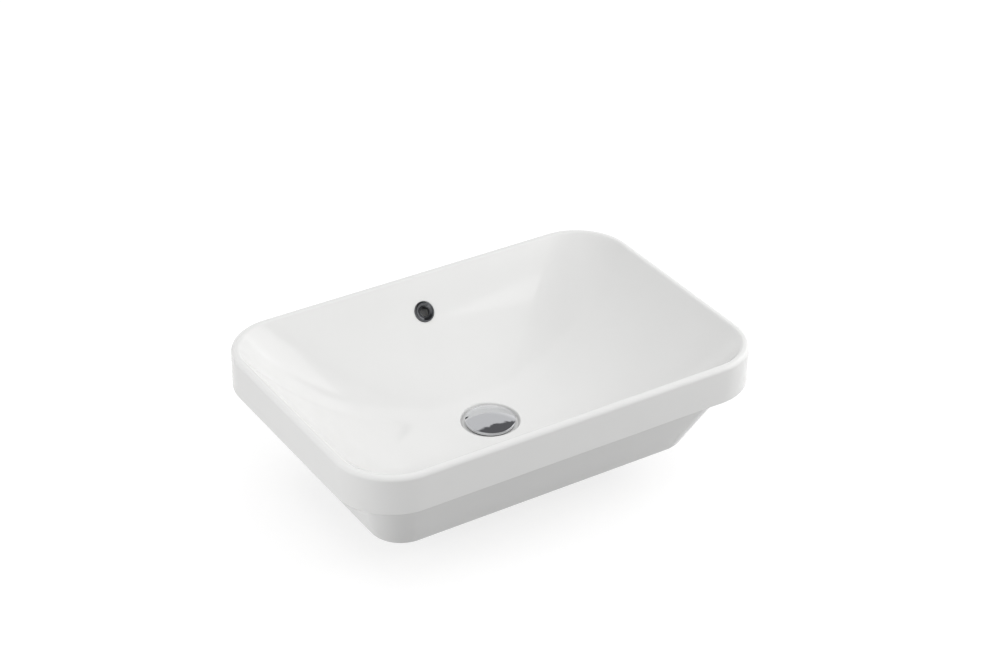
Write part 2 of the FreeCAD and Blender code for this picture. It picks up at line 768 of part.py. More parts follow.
def biarc(start, startWay, finish, finishWay):
    """Two tangent arcs between two points with given directions."""
    span = finish - start
    bend = 2 * (1 - startWay.dot(finishWay))
    lean = span.dot(startWay + finishWay)
    reach = (math.sqrt(lean ** 2 + bend * span.dot(span)) - lean) / bend
    middle = (start + finish + (startWay - finishWay) * reach) / 2
    return [halfArc(start, startWay, middle), halfArc(finish, finishWay * -1, middle)]


def makeSpring():
    """Round wire wound at a steady pitch between the end plug and the cam."""
    wire = worth("springWire")
    radius = worth("springDiameter / 2 - springWire / 2")
    low = worth("springFoot") + wire / 2
    high = worth("camFoot") - wire / 2
    halves = round(worth("springTurns") * 2)
    step = (high - low) / halves

    def place(half):
        turn = math.pi * half
        return Vector(radius * math.cos(turn), radius * math.sin(turn), low + step * half)

    def way(half):
        turn = math.pi * half
        run = radius * math.pi
        return Vector(-run * math.sin(turn), run * math.cos(turn), step).normalize()

    edges = []
    for half in range(halves):
        arcs = biarc(place(half), way(half), place(half + 1), way(half + 1))
        edges += [arc.toShape() for arc in arcs]
    path = Part.Wire(Part.__sortEdges__(edges))
    ring = Part.Wire(Part.makeCircle(wire / 2, place(0), way(0)))
    spring = document.addObject("Part::Feature", "cartridge_spring")
    spring.Shape = path.makePipeShell([ring], True, False)
    reportGap(path, wire, halves)
    return spring


def reportGap(path, wire, halves):
    """Print the least gap between the wire's turns, measured on points of its centre line."""
    perHalf = 16
    points = path.discretize(halves * perHalf + 1)
    apart = perHalf
    gaps = [points[i].distanceToPoint(points[j])
            for i in range(len(points)) for j in range(i + apart, len(points))]
    print(f"least gap of the spring to itself: {min(gaps) - wire:.2f} mm")


def makeAll():
    basin = makeBasin()
    ring = makeOverflowRing()
    placeOverflowRing(ring)
    return [
        basin,
        ring,
        makeWasteBody(),
        makeRing("flange_gasket", "tubeRadius + tubeFit", "flangeRadius - gasketInset", "seatLevel",
                 "gasketTop"),
        makeTaperWasher(),
        makeRing("slip_washer", "tubeRadius + tubeFit", "slipDiameter / 2", "nutTop", "slipTop"),
        makeBacknut(),
        makeCap(),
        makeCapSeal(),
        makePlunger(),
        makeIndexCam(),
        makeHousing(),
        makeGlandRing(),
        makeCartridgePlug(),
        makeSpring(),
    ]


def check(parts):
    """Stop if any object failed or any sub-part has no sound solid."""
    for item in document.Objects:
        if "Invalid" in item.State or "Error" in item.State:
            raise RuntimeError(f"{item.Name} failed: {item.State}")
    for part in parts:
        if part.Shape.isNull() or not part.Shape.isValid() or not part.Shape.Solids:
            raise RuntimeError(f"{part.Label} has no sound solid")


makeSheet()
subParts = makeAll()
document.recompute()
check(subParts)
os.makedirs("parts", exist_ok=True)
for subPart in subParts:
    subPart.Shape.exportStep(f"parts/{subPart.Label}.step")
    print(f"{subPart.Label}: {len(subPart.Shape.Solids)} solid, {subPart.Shape.Volume / 1000:.2f} cm3")
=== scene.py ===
import math

import bmesh
import bpy
import numpy as np
from mathutils import Matrix, Vector


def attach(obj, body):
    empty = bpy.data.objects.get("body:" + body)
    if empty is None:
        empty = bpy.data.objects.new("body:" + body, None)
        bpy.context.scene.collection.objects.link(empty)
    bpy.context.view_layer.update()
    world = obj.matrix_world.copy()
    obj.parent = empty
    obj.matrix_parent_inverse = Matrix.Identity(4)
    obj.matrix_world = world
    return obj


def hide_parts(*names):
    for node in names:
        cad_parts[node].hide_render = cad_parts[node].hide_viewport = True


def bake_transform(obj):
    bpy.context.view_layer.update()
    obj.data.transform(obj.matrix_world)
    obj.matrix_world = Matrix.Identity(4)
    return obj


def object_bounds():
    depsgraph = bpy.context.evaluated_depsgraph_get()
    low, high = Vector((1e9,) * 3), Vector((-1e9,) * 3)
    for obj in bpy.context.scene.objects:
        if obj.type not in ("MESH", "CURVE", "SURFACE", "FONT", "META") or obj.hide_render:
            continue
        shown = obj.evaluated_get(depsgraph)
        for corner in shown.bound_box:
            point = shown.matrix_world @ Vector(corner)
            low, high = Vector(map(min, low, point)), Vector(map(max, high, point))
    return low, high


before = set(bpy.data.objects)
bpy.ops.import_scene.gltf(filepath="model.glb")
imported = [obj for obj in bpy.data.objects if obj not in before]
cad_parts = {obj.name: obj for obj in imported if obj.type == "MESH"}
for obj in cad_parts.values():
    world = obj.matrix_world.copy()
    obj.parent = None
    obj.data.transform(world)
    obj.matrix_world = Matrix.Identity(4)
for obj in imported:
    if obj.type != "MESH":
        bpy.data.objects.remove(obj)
cadBounds = [list(corner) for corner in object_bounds()]
mm = 0.001
print("frame loaded:", len(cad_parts), "nodes")


# Quads between the neighbouring points of a grid. The columns run round and close on
# themselves, and the rows do too where wrap is set.
def gridFaces(grid, wrap):
    rowCount, columnCount = grid.shape[:2]
    row = np.arange(rowCount if wrap else rowCount - 1)[:, None]
    column = np.arange(columnCount)[None, :]
    nextRow, nextColumn = (row + 1) % rowCount, (column + 1) % columnCount
    corners = [(row, column), (row, nextColumn), (nextRow, nextColumn), (nextRow, column)]
    quads = [down * columnCount + across + 0 * (row + column) for down, across in corners]
    return np.stack(quads, axis=-1).reshape(-1, 4)


# Six times the volume inside a grid's quads, each cut into two triangles.
def insideVolume(points, quads):
    a, b, c, d = (points[quads[:, corner]] for corner in range(4))
    return (np.cross(b, c) * a).sum() + (np.cross(c, d) * a).sum()


# A mesh from points in millimetres, with those that coincide made one.
def joinedMesh(name, points, quads, faceOut=False):
    mesh = bpy.data.meshes.new(name)
    mesh.from_pydata((points * mm).tolist(), [], quads.tolist())
    work = bmesh.new()
    work.from_mesh(mesh)
    bmesh.ops.remove_doubles(work, verts=work.verts, dist=1e-8)
    if faceOut:
        bmesh.ops.recalc_face_normals(work, faces=work.faces)
    work.to_mesh(mesh)
    work.free()
    return mesh


# Smooth shading that breaks at edges sharper than the angle, in degrees.
def finishShading(mesh, sharpAngle):
    mesh.polygons.foreach_set("use_smooth", [True] * len(mesh.polygons))
    mesh.set_sharp_from_angle(angle=math.radians(sharpAngle))
    mesh.update()


# A closed skin from a grid round the upright axis, turned to face out. Its rows close on
# themselves too, unless the first and the last both lie on the axis.
def makeMesh(name, grid, sharpAngle=30):
    points = grid.reshape(-1, 3)
    ends = np.hypot(grid[[0, -1], 0, 0], grid[[0, -1], 0, 1])
    quads = gridFaces(grid, ends.max() > 1e-6)
    if insideVolume(points, quads) < 0:
        quads = quads[:, ::-1]
    mesh = joinedMesh(name, points, quads)
    finishShading(mesh, sharpAngle)
    return mesh


# A bar or a wire: a grid whose first and last rows each shrink to a point.
def makeBar(name, grid):
    return joinedMesh(name, grid.reshape(-1, 3), gridFaces(grid, False), faceOut=True)


def addObject(name, data):
    item = bpy.data.objects.new(name, data)
    bpy.context.scene.collection.objects.link(item)
    return item


# Puts a finished mesh in a node's place, on the body that carries it.
def addPiece(name, mesh, material, body, node):
    piece = addObject(name, mesh)
    mesh.materials.clear()
    mesh.materials.append(material)
    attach(piece, body)
    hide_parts(node)


# A curve from start to finish that leaves both of them towards a corner: the three points
# weighed by (1 - t) squared, 2t(1 - t) and t squared.
def bend(start, corner, finish, steps):
    t = np.linspace(0, 1, steps)[:, None]
    return (1 - t) ** 2 * start + 2 * t * (1 - t) * corner + t ** 2 * finish


# An outline from corners (radius, height, rounding). Each corner becomes a curve that leaves
# both sides at the rounding's distance, and a point close to it on each side keeps the flats
# flat in the shading. An open outline's two ends stay as they are.
def softProfile(corners, closed=True, steps=7, hold=0.12):
    corners = np.array(corners, float)
    count = len(corners)
    outline = []
    for index, (radius, height, rounding) in enumerate(corners):
        here = np.array([radius, height])
        if not closed and index in (0, count - 1):
            outline.append(here[None])
            continue
        before = corners[index - 1, :2] - here
        after = corners[(index + 1) % count, :2] - here
        lengths = np.linalg.norm(before), np.linalg.norm(after)
        reach = min(rounding, 0.45 * min(lengths))
        if reach <= 0:
            outline.append(here[None])
            continue
        start, finish = here + before / lengths[0] * reach, here + after / lengths[1] * reach
        gap = min(hold, 0.04 * min(lengths))
        outline.append(start[None] + before / lengths[0] * gap)
        outline.append(bend(start, here, finish, steps))
        outline.append(finish[None] + after / lengths[1] * gap)
    return np.concatenate(outline)


# Angles all round, in even steps.
def circleAngles(count):
    return np.linspace(0, 2 * np.pi, count, endpoint=False)


# Points at a radius, an angle and a height round the upright axis.
def aroundAxis(radius, angle, height):
    return np.stack([radius * np.cos(angle), radius * np.sin(angle), height + 0 * angle], axis=-1)


# A profile of (radius, height) turned about the upright axis.
def turned(profile, columns=128):
    return aroundAxis(profile[:, 0:1], circleAngles(columns), profile[:, 1:2])


# Distance from the axis to a regular polygon's side at each angle.
def polygonRadius(angle, halfFlats, sides):
    turn = 2 * np.pi / sides
    return halfFlats / np.cos((angle % turn) - turn / 2)


# Depth under the crest, from 0 to 1, of a rounded thread at each angle and height: a wave
# along the height that moves up one pitch in each turn, with its crest and root cut flat.
def threadWave(angle, height, pitch):
    phase = (height / pitch - angle / (2 * np.pi)) % 1
    return np.clip(1.15 * np.abs(2 * phase - 1) - 0.075, 0, 1)


# A circle drawn out to a square with soft corners as the power falls from 1 towards 0.
def squaredCircle(turn, power):
    return [np.sign(wave) * np.abs(wave) ** power for wave in (np.cos(turn), np.sin(turn))]


# Cuts four flutes along a turned grid: within half a flute's width of each axis line, measured
# at the outer radius, a point comes in to the flute's own radius.
def cutFlutes(grid, outer, flute, halfWidth):
    angle = np.arctan2(grid[..., 1], grid[..., 0])
    radius = np.hypot(grid[..., 0], grid[..., 1])
    aside = np.abs((angle + np.pi / 4) % (np.pi / 2) - np.pi / 4) * outer
    scale = np.where(aside < halfWidth, flute / np.maximum(radius, flute), 1)
    grid[..., :2] *= scale[..., None]


# sRGB hex to linear colour.
def toLinear(code):
    shares = [int(code[start:start + 2], 16) / 255 for start in (0, 2, 4)]
    return [share / 12.92 if share <= 0.04045 else ((share + 0.055) / 1.055) ** 2.4
            for share in shares] + [1]


# Adds a node, sets its values and links its inputs. Sockets go by name or by number.
def addNode(tree, kind, values=None, links=None):
    node = tree.nodes.new("ShaderNode" + kind)
    for name, value in (values or {}).items():
        if isinstance(name, int) or name in node.inputs:
            node.inputs[name].default_value = value
        else:
            setattr(node, name, value)
    for name, socket in (links or {}).items():
        tree.links.new(socket, node.inputs[name])
    return node


# An empty material, its nodes, and the place on the object that its patterns read.
def newMaterial(name):
    material = bpy.data.materials.new(name)
    material.use_nodes = True
    tree = material.node_tree
    tree.nodes.clear()
    place = addNode(tree, "TexCoord").outputs["Object"]
    return material, tree, place


def finishMaterial(tree, shader):
    addNode(tree, "OutputMaterial", links={"Surface": shader})


# How far a pattern is repeated in a metre, from the size of one repeat in millimetres.
def perMetre(size):
    return 1 / (size * mm)


# Vitreous china: slip cast, sprayed with a white glaze and fired once. The glaze melts to an
# even gloss with a very slight waviness, and the foot that stands on the kiln shelf stays bare.
def makeGlaze():
    look = {"white": "f3f3f2", "shade": "f0f0ef", "bare": "ded8cc", "cloud": 70, "peel": 7,
            "peelDepth": 0.006, "grit": 0.6, "bareRough": 0.85, "footTop": -97.1, "footFade": 0.4}
    material, tree, place = newMaterial("glazedVitreousChina")
    cloud = addNode(tree, "TexNoise", {"Scale": perMetre(look["cloud"]), "Detail": 3}, {"Vector": place})
    tints = {6: toLinear(look["white"]), 7: toLinear(look["shade"])}
    white = addNode(tree, "Mix", {"data_type": "RGBA", **tints}, {"Factor": cloud.outputs[0]})
    grit = addNode(tree, "TexNoise", {"Scale": perMetre(look["grit"]), "Detail": 4}, {"Vector": place})
    height = addNode(tree, "SeparateXYZ", links={"Vector": place})
    edge = addNode(tree, "MapRange", {"From Min": (look["footTop"] + look["footFade"]) * mm,
                                      "From Max": look["footTop"] * mm}, {"Value": height.outputs["Z"]})
    colour = addNode(tree, "Mix", {"data_type": "RGBA", 7: toLinear(look["bare"])},
                     {"Factor": edge.outputs["Result"], 6: white.outputs[2]})
    rough = addNode(tree, "MapRange", {"To Min": 0.075, "To Max": 0.1}, {"Value": cloud.outputs[0]})
    dull = addNode(tree, "Mix", {"data_type": "FLOAT", 3: look["bareRough"]},
                   {"Factor": edge.outputs["Result"], 2: rough.outputs["Result"]})
    peel = addNode(tree, "TexNoise", {"Scale": perMetre(look["peel"]), "Detail": 1}, {"Vector": place})
    smooth = addNode(tree, "Bump", {"Strength": 1, "Distance": look["peelDepth"] * mm},
                     {"Height": peel.outputs[0]})
    coarse = addNode(tree, "Math", {"operation": "MULTIPLY"},
                     {0: grit.outputs[0], 1: edge.outputs["Result"]})
    bump = addNode(tree, "Bump", {"Strength": 0.5, "Distance": 0.05 * mm},
                   {"Height": coarse.outputs[0], "Normal": smooth.outputs["Normal"]})
    shader = addNode(tree, "BsdfPrincipled", {"IOR": 1.52},
                     {"Base Color": colour.outputs[2], "Roughness": dull.outputs[0],
                      "Normal": bump.outputs["Normal"]})
    finishMaterial(tree, shader.outputs[0])
    return material


# Bright chromium plate over buffed brass: a hard mirror, with a faint unevenness from the
# buffing that only softens the reflections' edges.
def makeChrome(name, metal):
    look = {"smear": 9, "mark": 0.35}
    material, tree, place = newMaterial(name)
    smear = addNode(tree, "TexNoise", {"Scale": perMetre(look["smear"]), "Detail": 2}, {"Vector": place})
    rough = addNode(tree, "MapRange", {"To Min": 0.035, "To Max": 0.07}, {"Value": smear.outputs[0]})
    mark = addNode(tree, "TexNoise", {"Scale": perMetre(look["mark"]), "Detail": 2}, {"Vector": place})
    bump = addNode(tree, "Bump", {"Strength": 0.05, "Distance": 0.004 * mm}, {"Height": mark.outputs[0]})
    shader = addNode(tree, "BsdfPrincipled", {"Base Color": toLinear(metal), "Metallic": 1},
                     {"Roughness": rough.outputs["Result"], "Normal": bump.outputs["Normal"]})
    finishMaterial(tree, shader.outputs[0])
    return material


# Free-cutting brass, turned and left bare: a dull warm gloss with the tool's rings along the
# axis. Real ones are finer, and these are drawn 3 mm apart so that they show.
def makeBrass():
    look = {"bright": "c9a86a", "tarnish": "a98a4e", "cloud": 6, "ring": 3.1416}
    scale = perMetre(look["ring"]) * math.pi / 10  # the wave texture repeats at pi / 10 over its scale
    material, tree, place = newMaterial("turnedBrass")
    cloud = addNode(tree, "TexNoise", {"Scale": perMetre(look["cloud"]), "Detail": 4}, {"Vector": place})
    tints = {6: toLinear(look["bright"]), 7: toLinear(look["tarnish"])}
    colour = addNode(tree, "Mix", {"data_type": "RGBA", **tints}, {"Factor": cloud.outputs[0]})
    marks = addNode(tree, "TexWave", {"bands_direction": "Z", "Scale": scale, "Distortion": 0.4},
                    {"Vector": place})
    bump = addNode(tree, "Bump", {"Strength": 0.25, "Distance": 0.01 * mm}, {"Height": marks.outputs[1]})
    rough = addNode(tree, "MapRange", {"To Min": 0.22, "To Max": 0.38}, {"Value": cloud.outputs[0]})
    shader = addNode(tree, "BsdfPrincipled", {"Metallic": 1},
                     {"Base Color": colour.outputs[2], "Roughness": rough.outputs["Result"],
                      "Normal": bump.outputs["Normal"]})
    finishMaterial(tree, shader.outputs[0])
    return material


# Moulded black rubber: matt, with a greyish bloom in patches and a fine grain from the mould.
def makeRubber():
    look = {"black": "1d1d1e", "bloom": "333333", "cloud": 12, "grain": 0.5}
    material, tree, place = newMaterial("mouldedRubber")
    cloud = addNode(tree, "TexNoise", {"Scale": perMetre(look["cloud"]), "Detail": 5}, {"Vector": place})
    tints = {6: toLinear(look["black"]), 7: toLinear(look["bloom"])}
    colour = addNode(tree, "Mix", {"data_type": "RGBA", **tints}, {"Factor": cloud.outputs[0]})
    grain = addNode(tree, "TexNoise", {"Scale": perMetre(look["grain"]), "Detail": 2}, {"Vector": place})
    bump = addNode(tree, "Bump", {"Strength": 0.3, "Distance": 0.02 * mm}, {"Height": grain.outputs[0]})
    rough = addNode(tree, "MapRange", {"To Min": 0.5, "To Max": 0.7}, {"Value": cloud.outputs[0]})
    shader = addNode(tree, "BsdfPrincipled", {"IOR": 1.52},
                     {"Base Color": colour.outputs[2], "Roughness": rough.outputs["Result"],
                      "Normal": bump.outputs["Normal"]})
    finishMaterial(tree, shader.outputs[0])
    return material


# Moulded white plastic: waxy polythene or harder acetal, by roughness, with a faint mould texture.
def makePlastic(name, code, shade, roughness):
    look = {"cloud": 15, "grain": 0.8, "spread": 0.04}
    material, tree, place = newMaterial(name)
    cloud = addNode(tree, "TexNoise", {"Scale": perMetre(look["cloud"]), "Detail": 3}, {"Vector": place})
    colour = addNode(tree, "Mix", {"data_type": "RGBA", 6: toLinear(code), 7: toLinear(shade)},
                     {"Factor": cloud.outputs[0]})
    grain = addNode(tree, "TexNoise", {"Scale": perMetre(look["grain"]), "Detail": 2}, {"Vector": place})
    bump = addNode(tree, "Bump", {"Strength": 0.15, "Distance": 0.02 * mm}, {"Height": grain.outputs[0]})
    rough = addNode(tree, "MapRange", {"To Min": roughness - look["spread"],
                                       "To Max": roughness + look["spread"]}, {"Value": cloud.outputs[0]})
    shader = addNode(tree, "BsdfPrincipled", {"IOR": 1.5},
                     {"Base Color": colour.outputs[2], "Roughness": rough.outputs["Result"],
                      "Normal": bump.outputs["Normal"]})
    finishMaterial(tree, shader.outputs[0])
    return material


# Stainless spring wire, cold drawn: a satin grey, slightly uneven.
def makeSpringSteel():
    look = {"steel": "b7b6b2", "patch": 1.2}
    material, tree, place = newMaterial("drawnSpringWire")
    patch = addNode(tree, "TexNoise", {"Scale": perMetre(look["patch"]), "Detail": 3}, {"Vector": place})
    rough = addNode(tree, "MapRange", {"To Min": 0.2, "To Max": 0.34}, {"Value": patch.outputs[0]})
    bump = addNode(tree, "Bump", {"Strength": 0.2, "Distance": 0.008 * mm}, {"Height": patch.outputs[0]})
    shader = addNode(tree, "BsdfPrincipled", {"Base Color": toLinear(look["steel"]), "Metallic": 1},
                     {"Roughness": rough.outputs["Result"], "Normal": bump.outputs["Normal"]})
    finishMaterial(tree, shader.outputs[0])
    return material


glaze, brass, rubber = makeGlaze(), makeBrass(), makeRubber()
chrome = makeChrome("brightChromePlate", "e2e3e5")
# The overflow ring's copy of the chrome gets a dark metal colour: painted shade, which stands in for the
# darker reflections in the ring's face.
chromeWithPaintedShade = makeChrome("chromePlateWithPaintedShade", "6c6d70")
polythene = makePlastic("mouldedPolythene", "e4e4df", "dadad4", 0.42)
acetal = makePlastic("mouldedAcetal", "eeede8", "e6e5df", 0.32)
springSteel = makeSpringSteel()
print("materials made")

basin = {
    "halfLength": 280, "halfDepth": 190, "corner": 73, "band": 50, "rimRound": 5, "rimWidth": 9,
    "innerRound": 1.75, "bandEdge": 1.5, "bowlDrop": 111, "bowlPower": 2.77, "cornerGain": 0.55,
    "ledgeSide": 27.5, "ledgeFront": 16, "ledgeBack": 23, "ledgeCorner": 48, "ledgeFillet": 2,
    "height": 97.5, "taperSide": 35.8, "taperFront": 49.6, "taperBack": 14.5, "footCorner": 40,
    "footRound": 11, "footWidth": 18, "footRise": 4, "wall": 7, "rimSolid": 20,
    "seatDrop": 4, "seatRadius": 34, "seatBlend": 38, "bore": 22.5, "boss": 37,
    "overflowDrop": 37.4, "overflowBore": 11, "overflowSeat": 13.75, "seatSink": 0.4,
    "floorShare": 0.34, "rimBlend": 0.008,
}
bowlHalfLength = basin["halfLength"] - basin["rimWidth"]
bowlHalfDepth = basin["halfDepth"] - basin["rimWidth"]
bowlCorner = basin["corner"] - basin["rimWidth"]


# Angles round the basin: crowded where the corners turn, the same in each quarter.
def basinAngles():
    cornerStart, cornerEnd = 18, 46
    quarter = np.concatenate([np.linspace(0, cornerStart, 10, endpoint=False),
                              np.linspace(cornerStart, cornerEnd, 38, endpoint=False),
                              np.linspace(cornerEnd, 90, 24, endpoint=False)])
    degrees = np.concatenate([quarter, 180 - quarter[::-1][:-1], [90], 180 + quarter,
                              360 - quarter[::-1][:-1], [270]])
    return np.radians(np.unique(degrees))


around = basinAngles()


# Distance from the centre to a rounded rectangle along each ray: to a straight side where the
# ray meets one, and otherwise to the corner's arc.
def rayLength(halfLength, halfDepth, corner):
    across, along = np.abs(np.cos(around)), np.abs(np.sin(around))
    toSide = halfLength / np.maximum(across, 1e-9)
    toFront = halfDepth / np.maximum(along, 1e-9)
    cornerX, cornerY = halfLength - corner, halfDepth - corner
    towards = across * cornerX + along * cornerY
    arc = np.sqrt(np.maximum(towards ** 2 - cornerX ** 2 - cornerY ** 2 + corner ** 2, 0))
    onSide, onFront = toSide * along <= cornerY, toFront * across <= cornerX
    return np.where(onSide, toSide, np.where(onFront, toFront, towards + arc))


# Rings of points, one for each row of half length, half depth in front, half depth behind,
# corner radius and height.
def rings(halfLength, front, back, corner, height):
    rows = np.broadcast_arrays(*(np.atleast_1d(np.asarray(value, float))[:, None]
                                 for value in (halfLength, front, back, corner, height)))
    depth = np.where(np.sin(around) < 0, rows[1], rows[2])
    reach = rayLength(rows[0], depth, rows[3])
    return aroundAxis(reach, around, rows[4])


# Round rings, one for each radius and height.
def circles(radius, height):
    return rings(radius, radius, radius, radius, height)


# A rounded rectangle drawn out or in by the same distance all round.
def bandRings(out, height):
    out = np.asarray(out, float)
    half, depth = basin["halfLength"] + out, basin["halfDepth"] + out
    return rings(half, depth, depth, basin["corner"] + out, height)


# The bowl's height at a share of the rim's inner outline: it falls from the rim with a power
# of the share.
def bowlLevel(share):
    return basin["band"] - basin["bowlDrop"] * (1 - share ** basin["bowlPower"])


# The bowl's contours, the rim's inner outline drawn in by each share with rounder corners on the
# way. Grow gives the back of the wall instead, which lies out and down from them.
def bowlRings(share, height=None, grow=0.0):
    share = np.asarray(share, float)
    spread = grow * 0.9 * share ** 0.8
    corner = bowlCorner * share * (1 + basin["cornerGain"] * (1 - share)) + spread
    if height is None:
        height = bowlLevel(share) - grow * (1 - 0.6 * share ** 2)
    depth = bowlHalfDepth * share + spread
    return rings(bowlHalfLength * share + spread, depth, depth, corner, height)


# The share of the contour that passes each point of a ring, found by halving.
def shareAt(reach):
    low, high = np.zeros_like(reach), np.full_like(reach, 1.1)
    for _ in range(40):
        middle = (low + high) / 2
        corner = bowlCorner * middle * (1 + basin["cornerGain"] * (1 - middle))
        inside = rayLength(bowlHalfLength * middle, bowlHalfDepth * middle, corner) < reach
        low, high = np.where(inside, middle, low), np.where(inside, high, middle)
    return (low + high) / 2


# Rings that pass from a contour of the bowl to a circle, at the bowl's own height.
def floorRings(share, radius, count, grow=0.0):
    outer, inner = bowlRings(share, 0.0, grow)[0], circles(radius, 0.0)[0]
    blend = np.linspace(0, 1, count)[:, None, None]
    return liftToBowl(outer * (1 - blend) + inner * blend, grow)


# Points moved up or down to the bowl's height where they are.
def liftToBowl(points, grow=0.0):
    reach = np.hypot(points[..., 0], points[..., 1])
    points = points.copy()
    share = shareAt(reach)
    points[..., 2] = bowlLevel(share) - grow * (1 - 0.6 * share ** 2)
    return points


# The drain seat: from the bowl's floor down to a flat ring, along a soft S curve.
def seatRings():
    radius = np.linspace(basin["seatBlend"], basin["seatRadius"], 16)
    points = liftToBowl(circles(radius, 0.0))
    part = ((radius - basin["seatRadius"]) / (basin["seatBlend"] - basin["seatRadius"]))[:, None]
    curve = part ** 3 * (part * (6 * part - 15) + 10)
    flat = basin["band"] - basin["bowlDrop"] - basin["seatDrop"]
    points[..., 2] = flat + (points[..., 2] - flat) * curve
    return points


# The lower body at a height: each side leans in by its own taper, and near the foot it follows
# an arc that touches both the side and the floor.
def bodyRings(height):
    height = np.asarray(height, float)
    drop = -height / basin["height"]
    halves, cuts = [], []
    for half, taper in ((basin["halfLength"] - basin["ledgeSide"], basin["taperSide"]),
                        (basin["halfDepth"] - basin["ledgeFront"], basin["taperFront"]),
                        (basin["halfDepth"] - basin["ledgeBack"], basin["taperBack"])):
        lean = math.atan(taper / basin["height"])
        centre = half - taper - basin["footRound"] * math.tan((math.pi / 2 - lean) / 2)
        up = basin["height"] - basin["footRound"] + height
        line = half - taper * drop
        arc = centre + np.sqrt(np.maximum(basin["footRound"] ** 2 - up ** 2, 0))
        halves.append(np.where(up < -basin["footRound"] * math.sin(lean), arc, line))
        cuts.append(line - halves[-1])
    corner = basin["ledgeCorner"] + (basin["footCorner"] - basin["ledgeCorner"]) * drop - sum(cuts) / 3
    return rings(*halves, corner, height)


# Rings in even steps from one ring to another, the ends left out.
def between(first, last, count):
    step = np.linspace(0, 1, count + 2)[1:-1, None, None]
    return first[None] * (1 - step) + last[None] * step


# The recess inside the foot: the lower body's outline at the floor, in by the foot's width.
def recessRings(out, height):
    side = basin["halfLength"] - basin["ledgeSide"] - basin["taperSide"] - basin["footWidth"]
    front = basin["halfDepth"] - basin["ledgeFront"] - basin["taperFront"] - basin["footWidth"]
    back = basin["halfDepth"] - basin["ledgeBack"] - basin["taperBack"] - basin["footWidth"]
    corner = basin["footCorner"] - basin["footWidth"] / 2
    out = np.asarray(out, float)
    return rings(side + out, front + out, back + out, corner + out, height)


# The inner side of the lower body's wall at a height.
def hollowRings(height):
    height = np.asarray(height, float)
    drop = -height / basin["height"]
    wall = basin["wall"]
    return rings(basin["halfLength"] - basin["ledgeSide"] - basin["taperSide"] * drop - wall,
                 basin["halfDepth"] - basin["ledgeFront"] - basin["taperFront"] * drop - wall,
                 basin["halfDepth"] - basin["ledgeBack"] - basin["taperBack"] * drop - wall,
                 basin["ledgeCorner"] + (basin["footCorner"] - basin["ledgeCorner"]) * drop - wall, height)


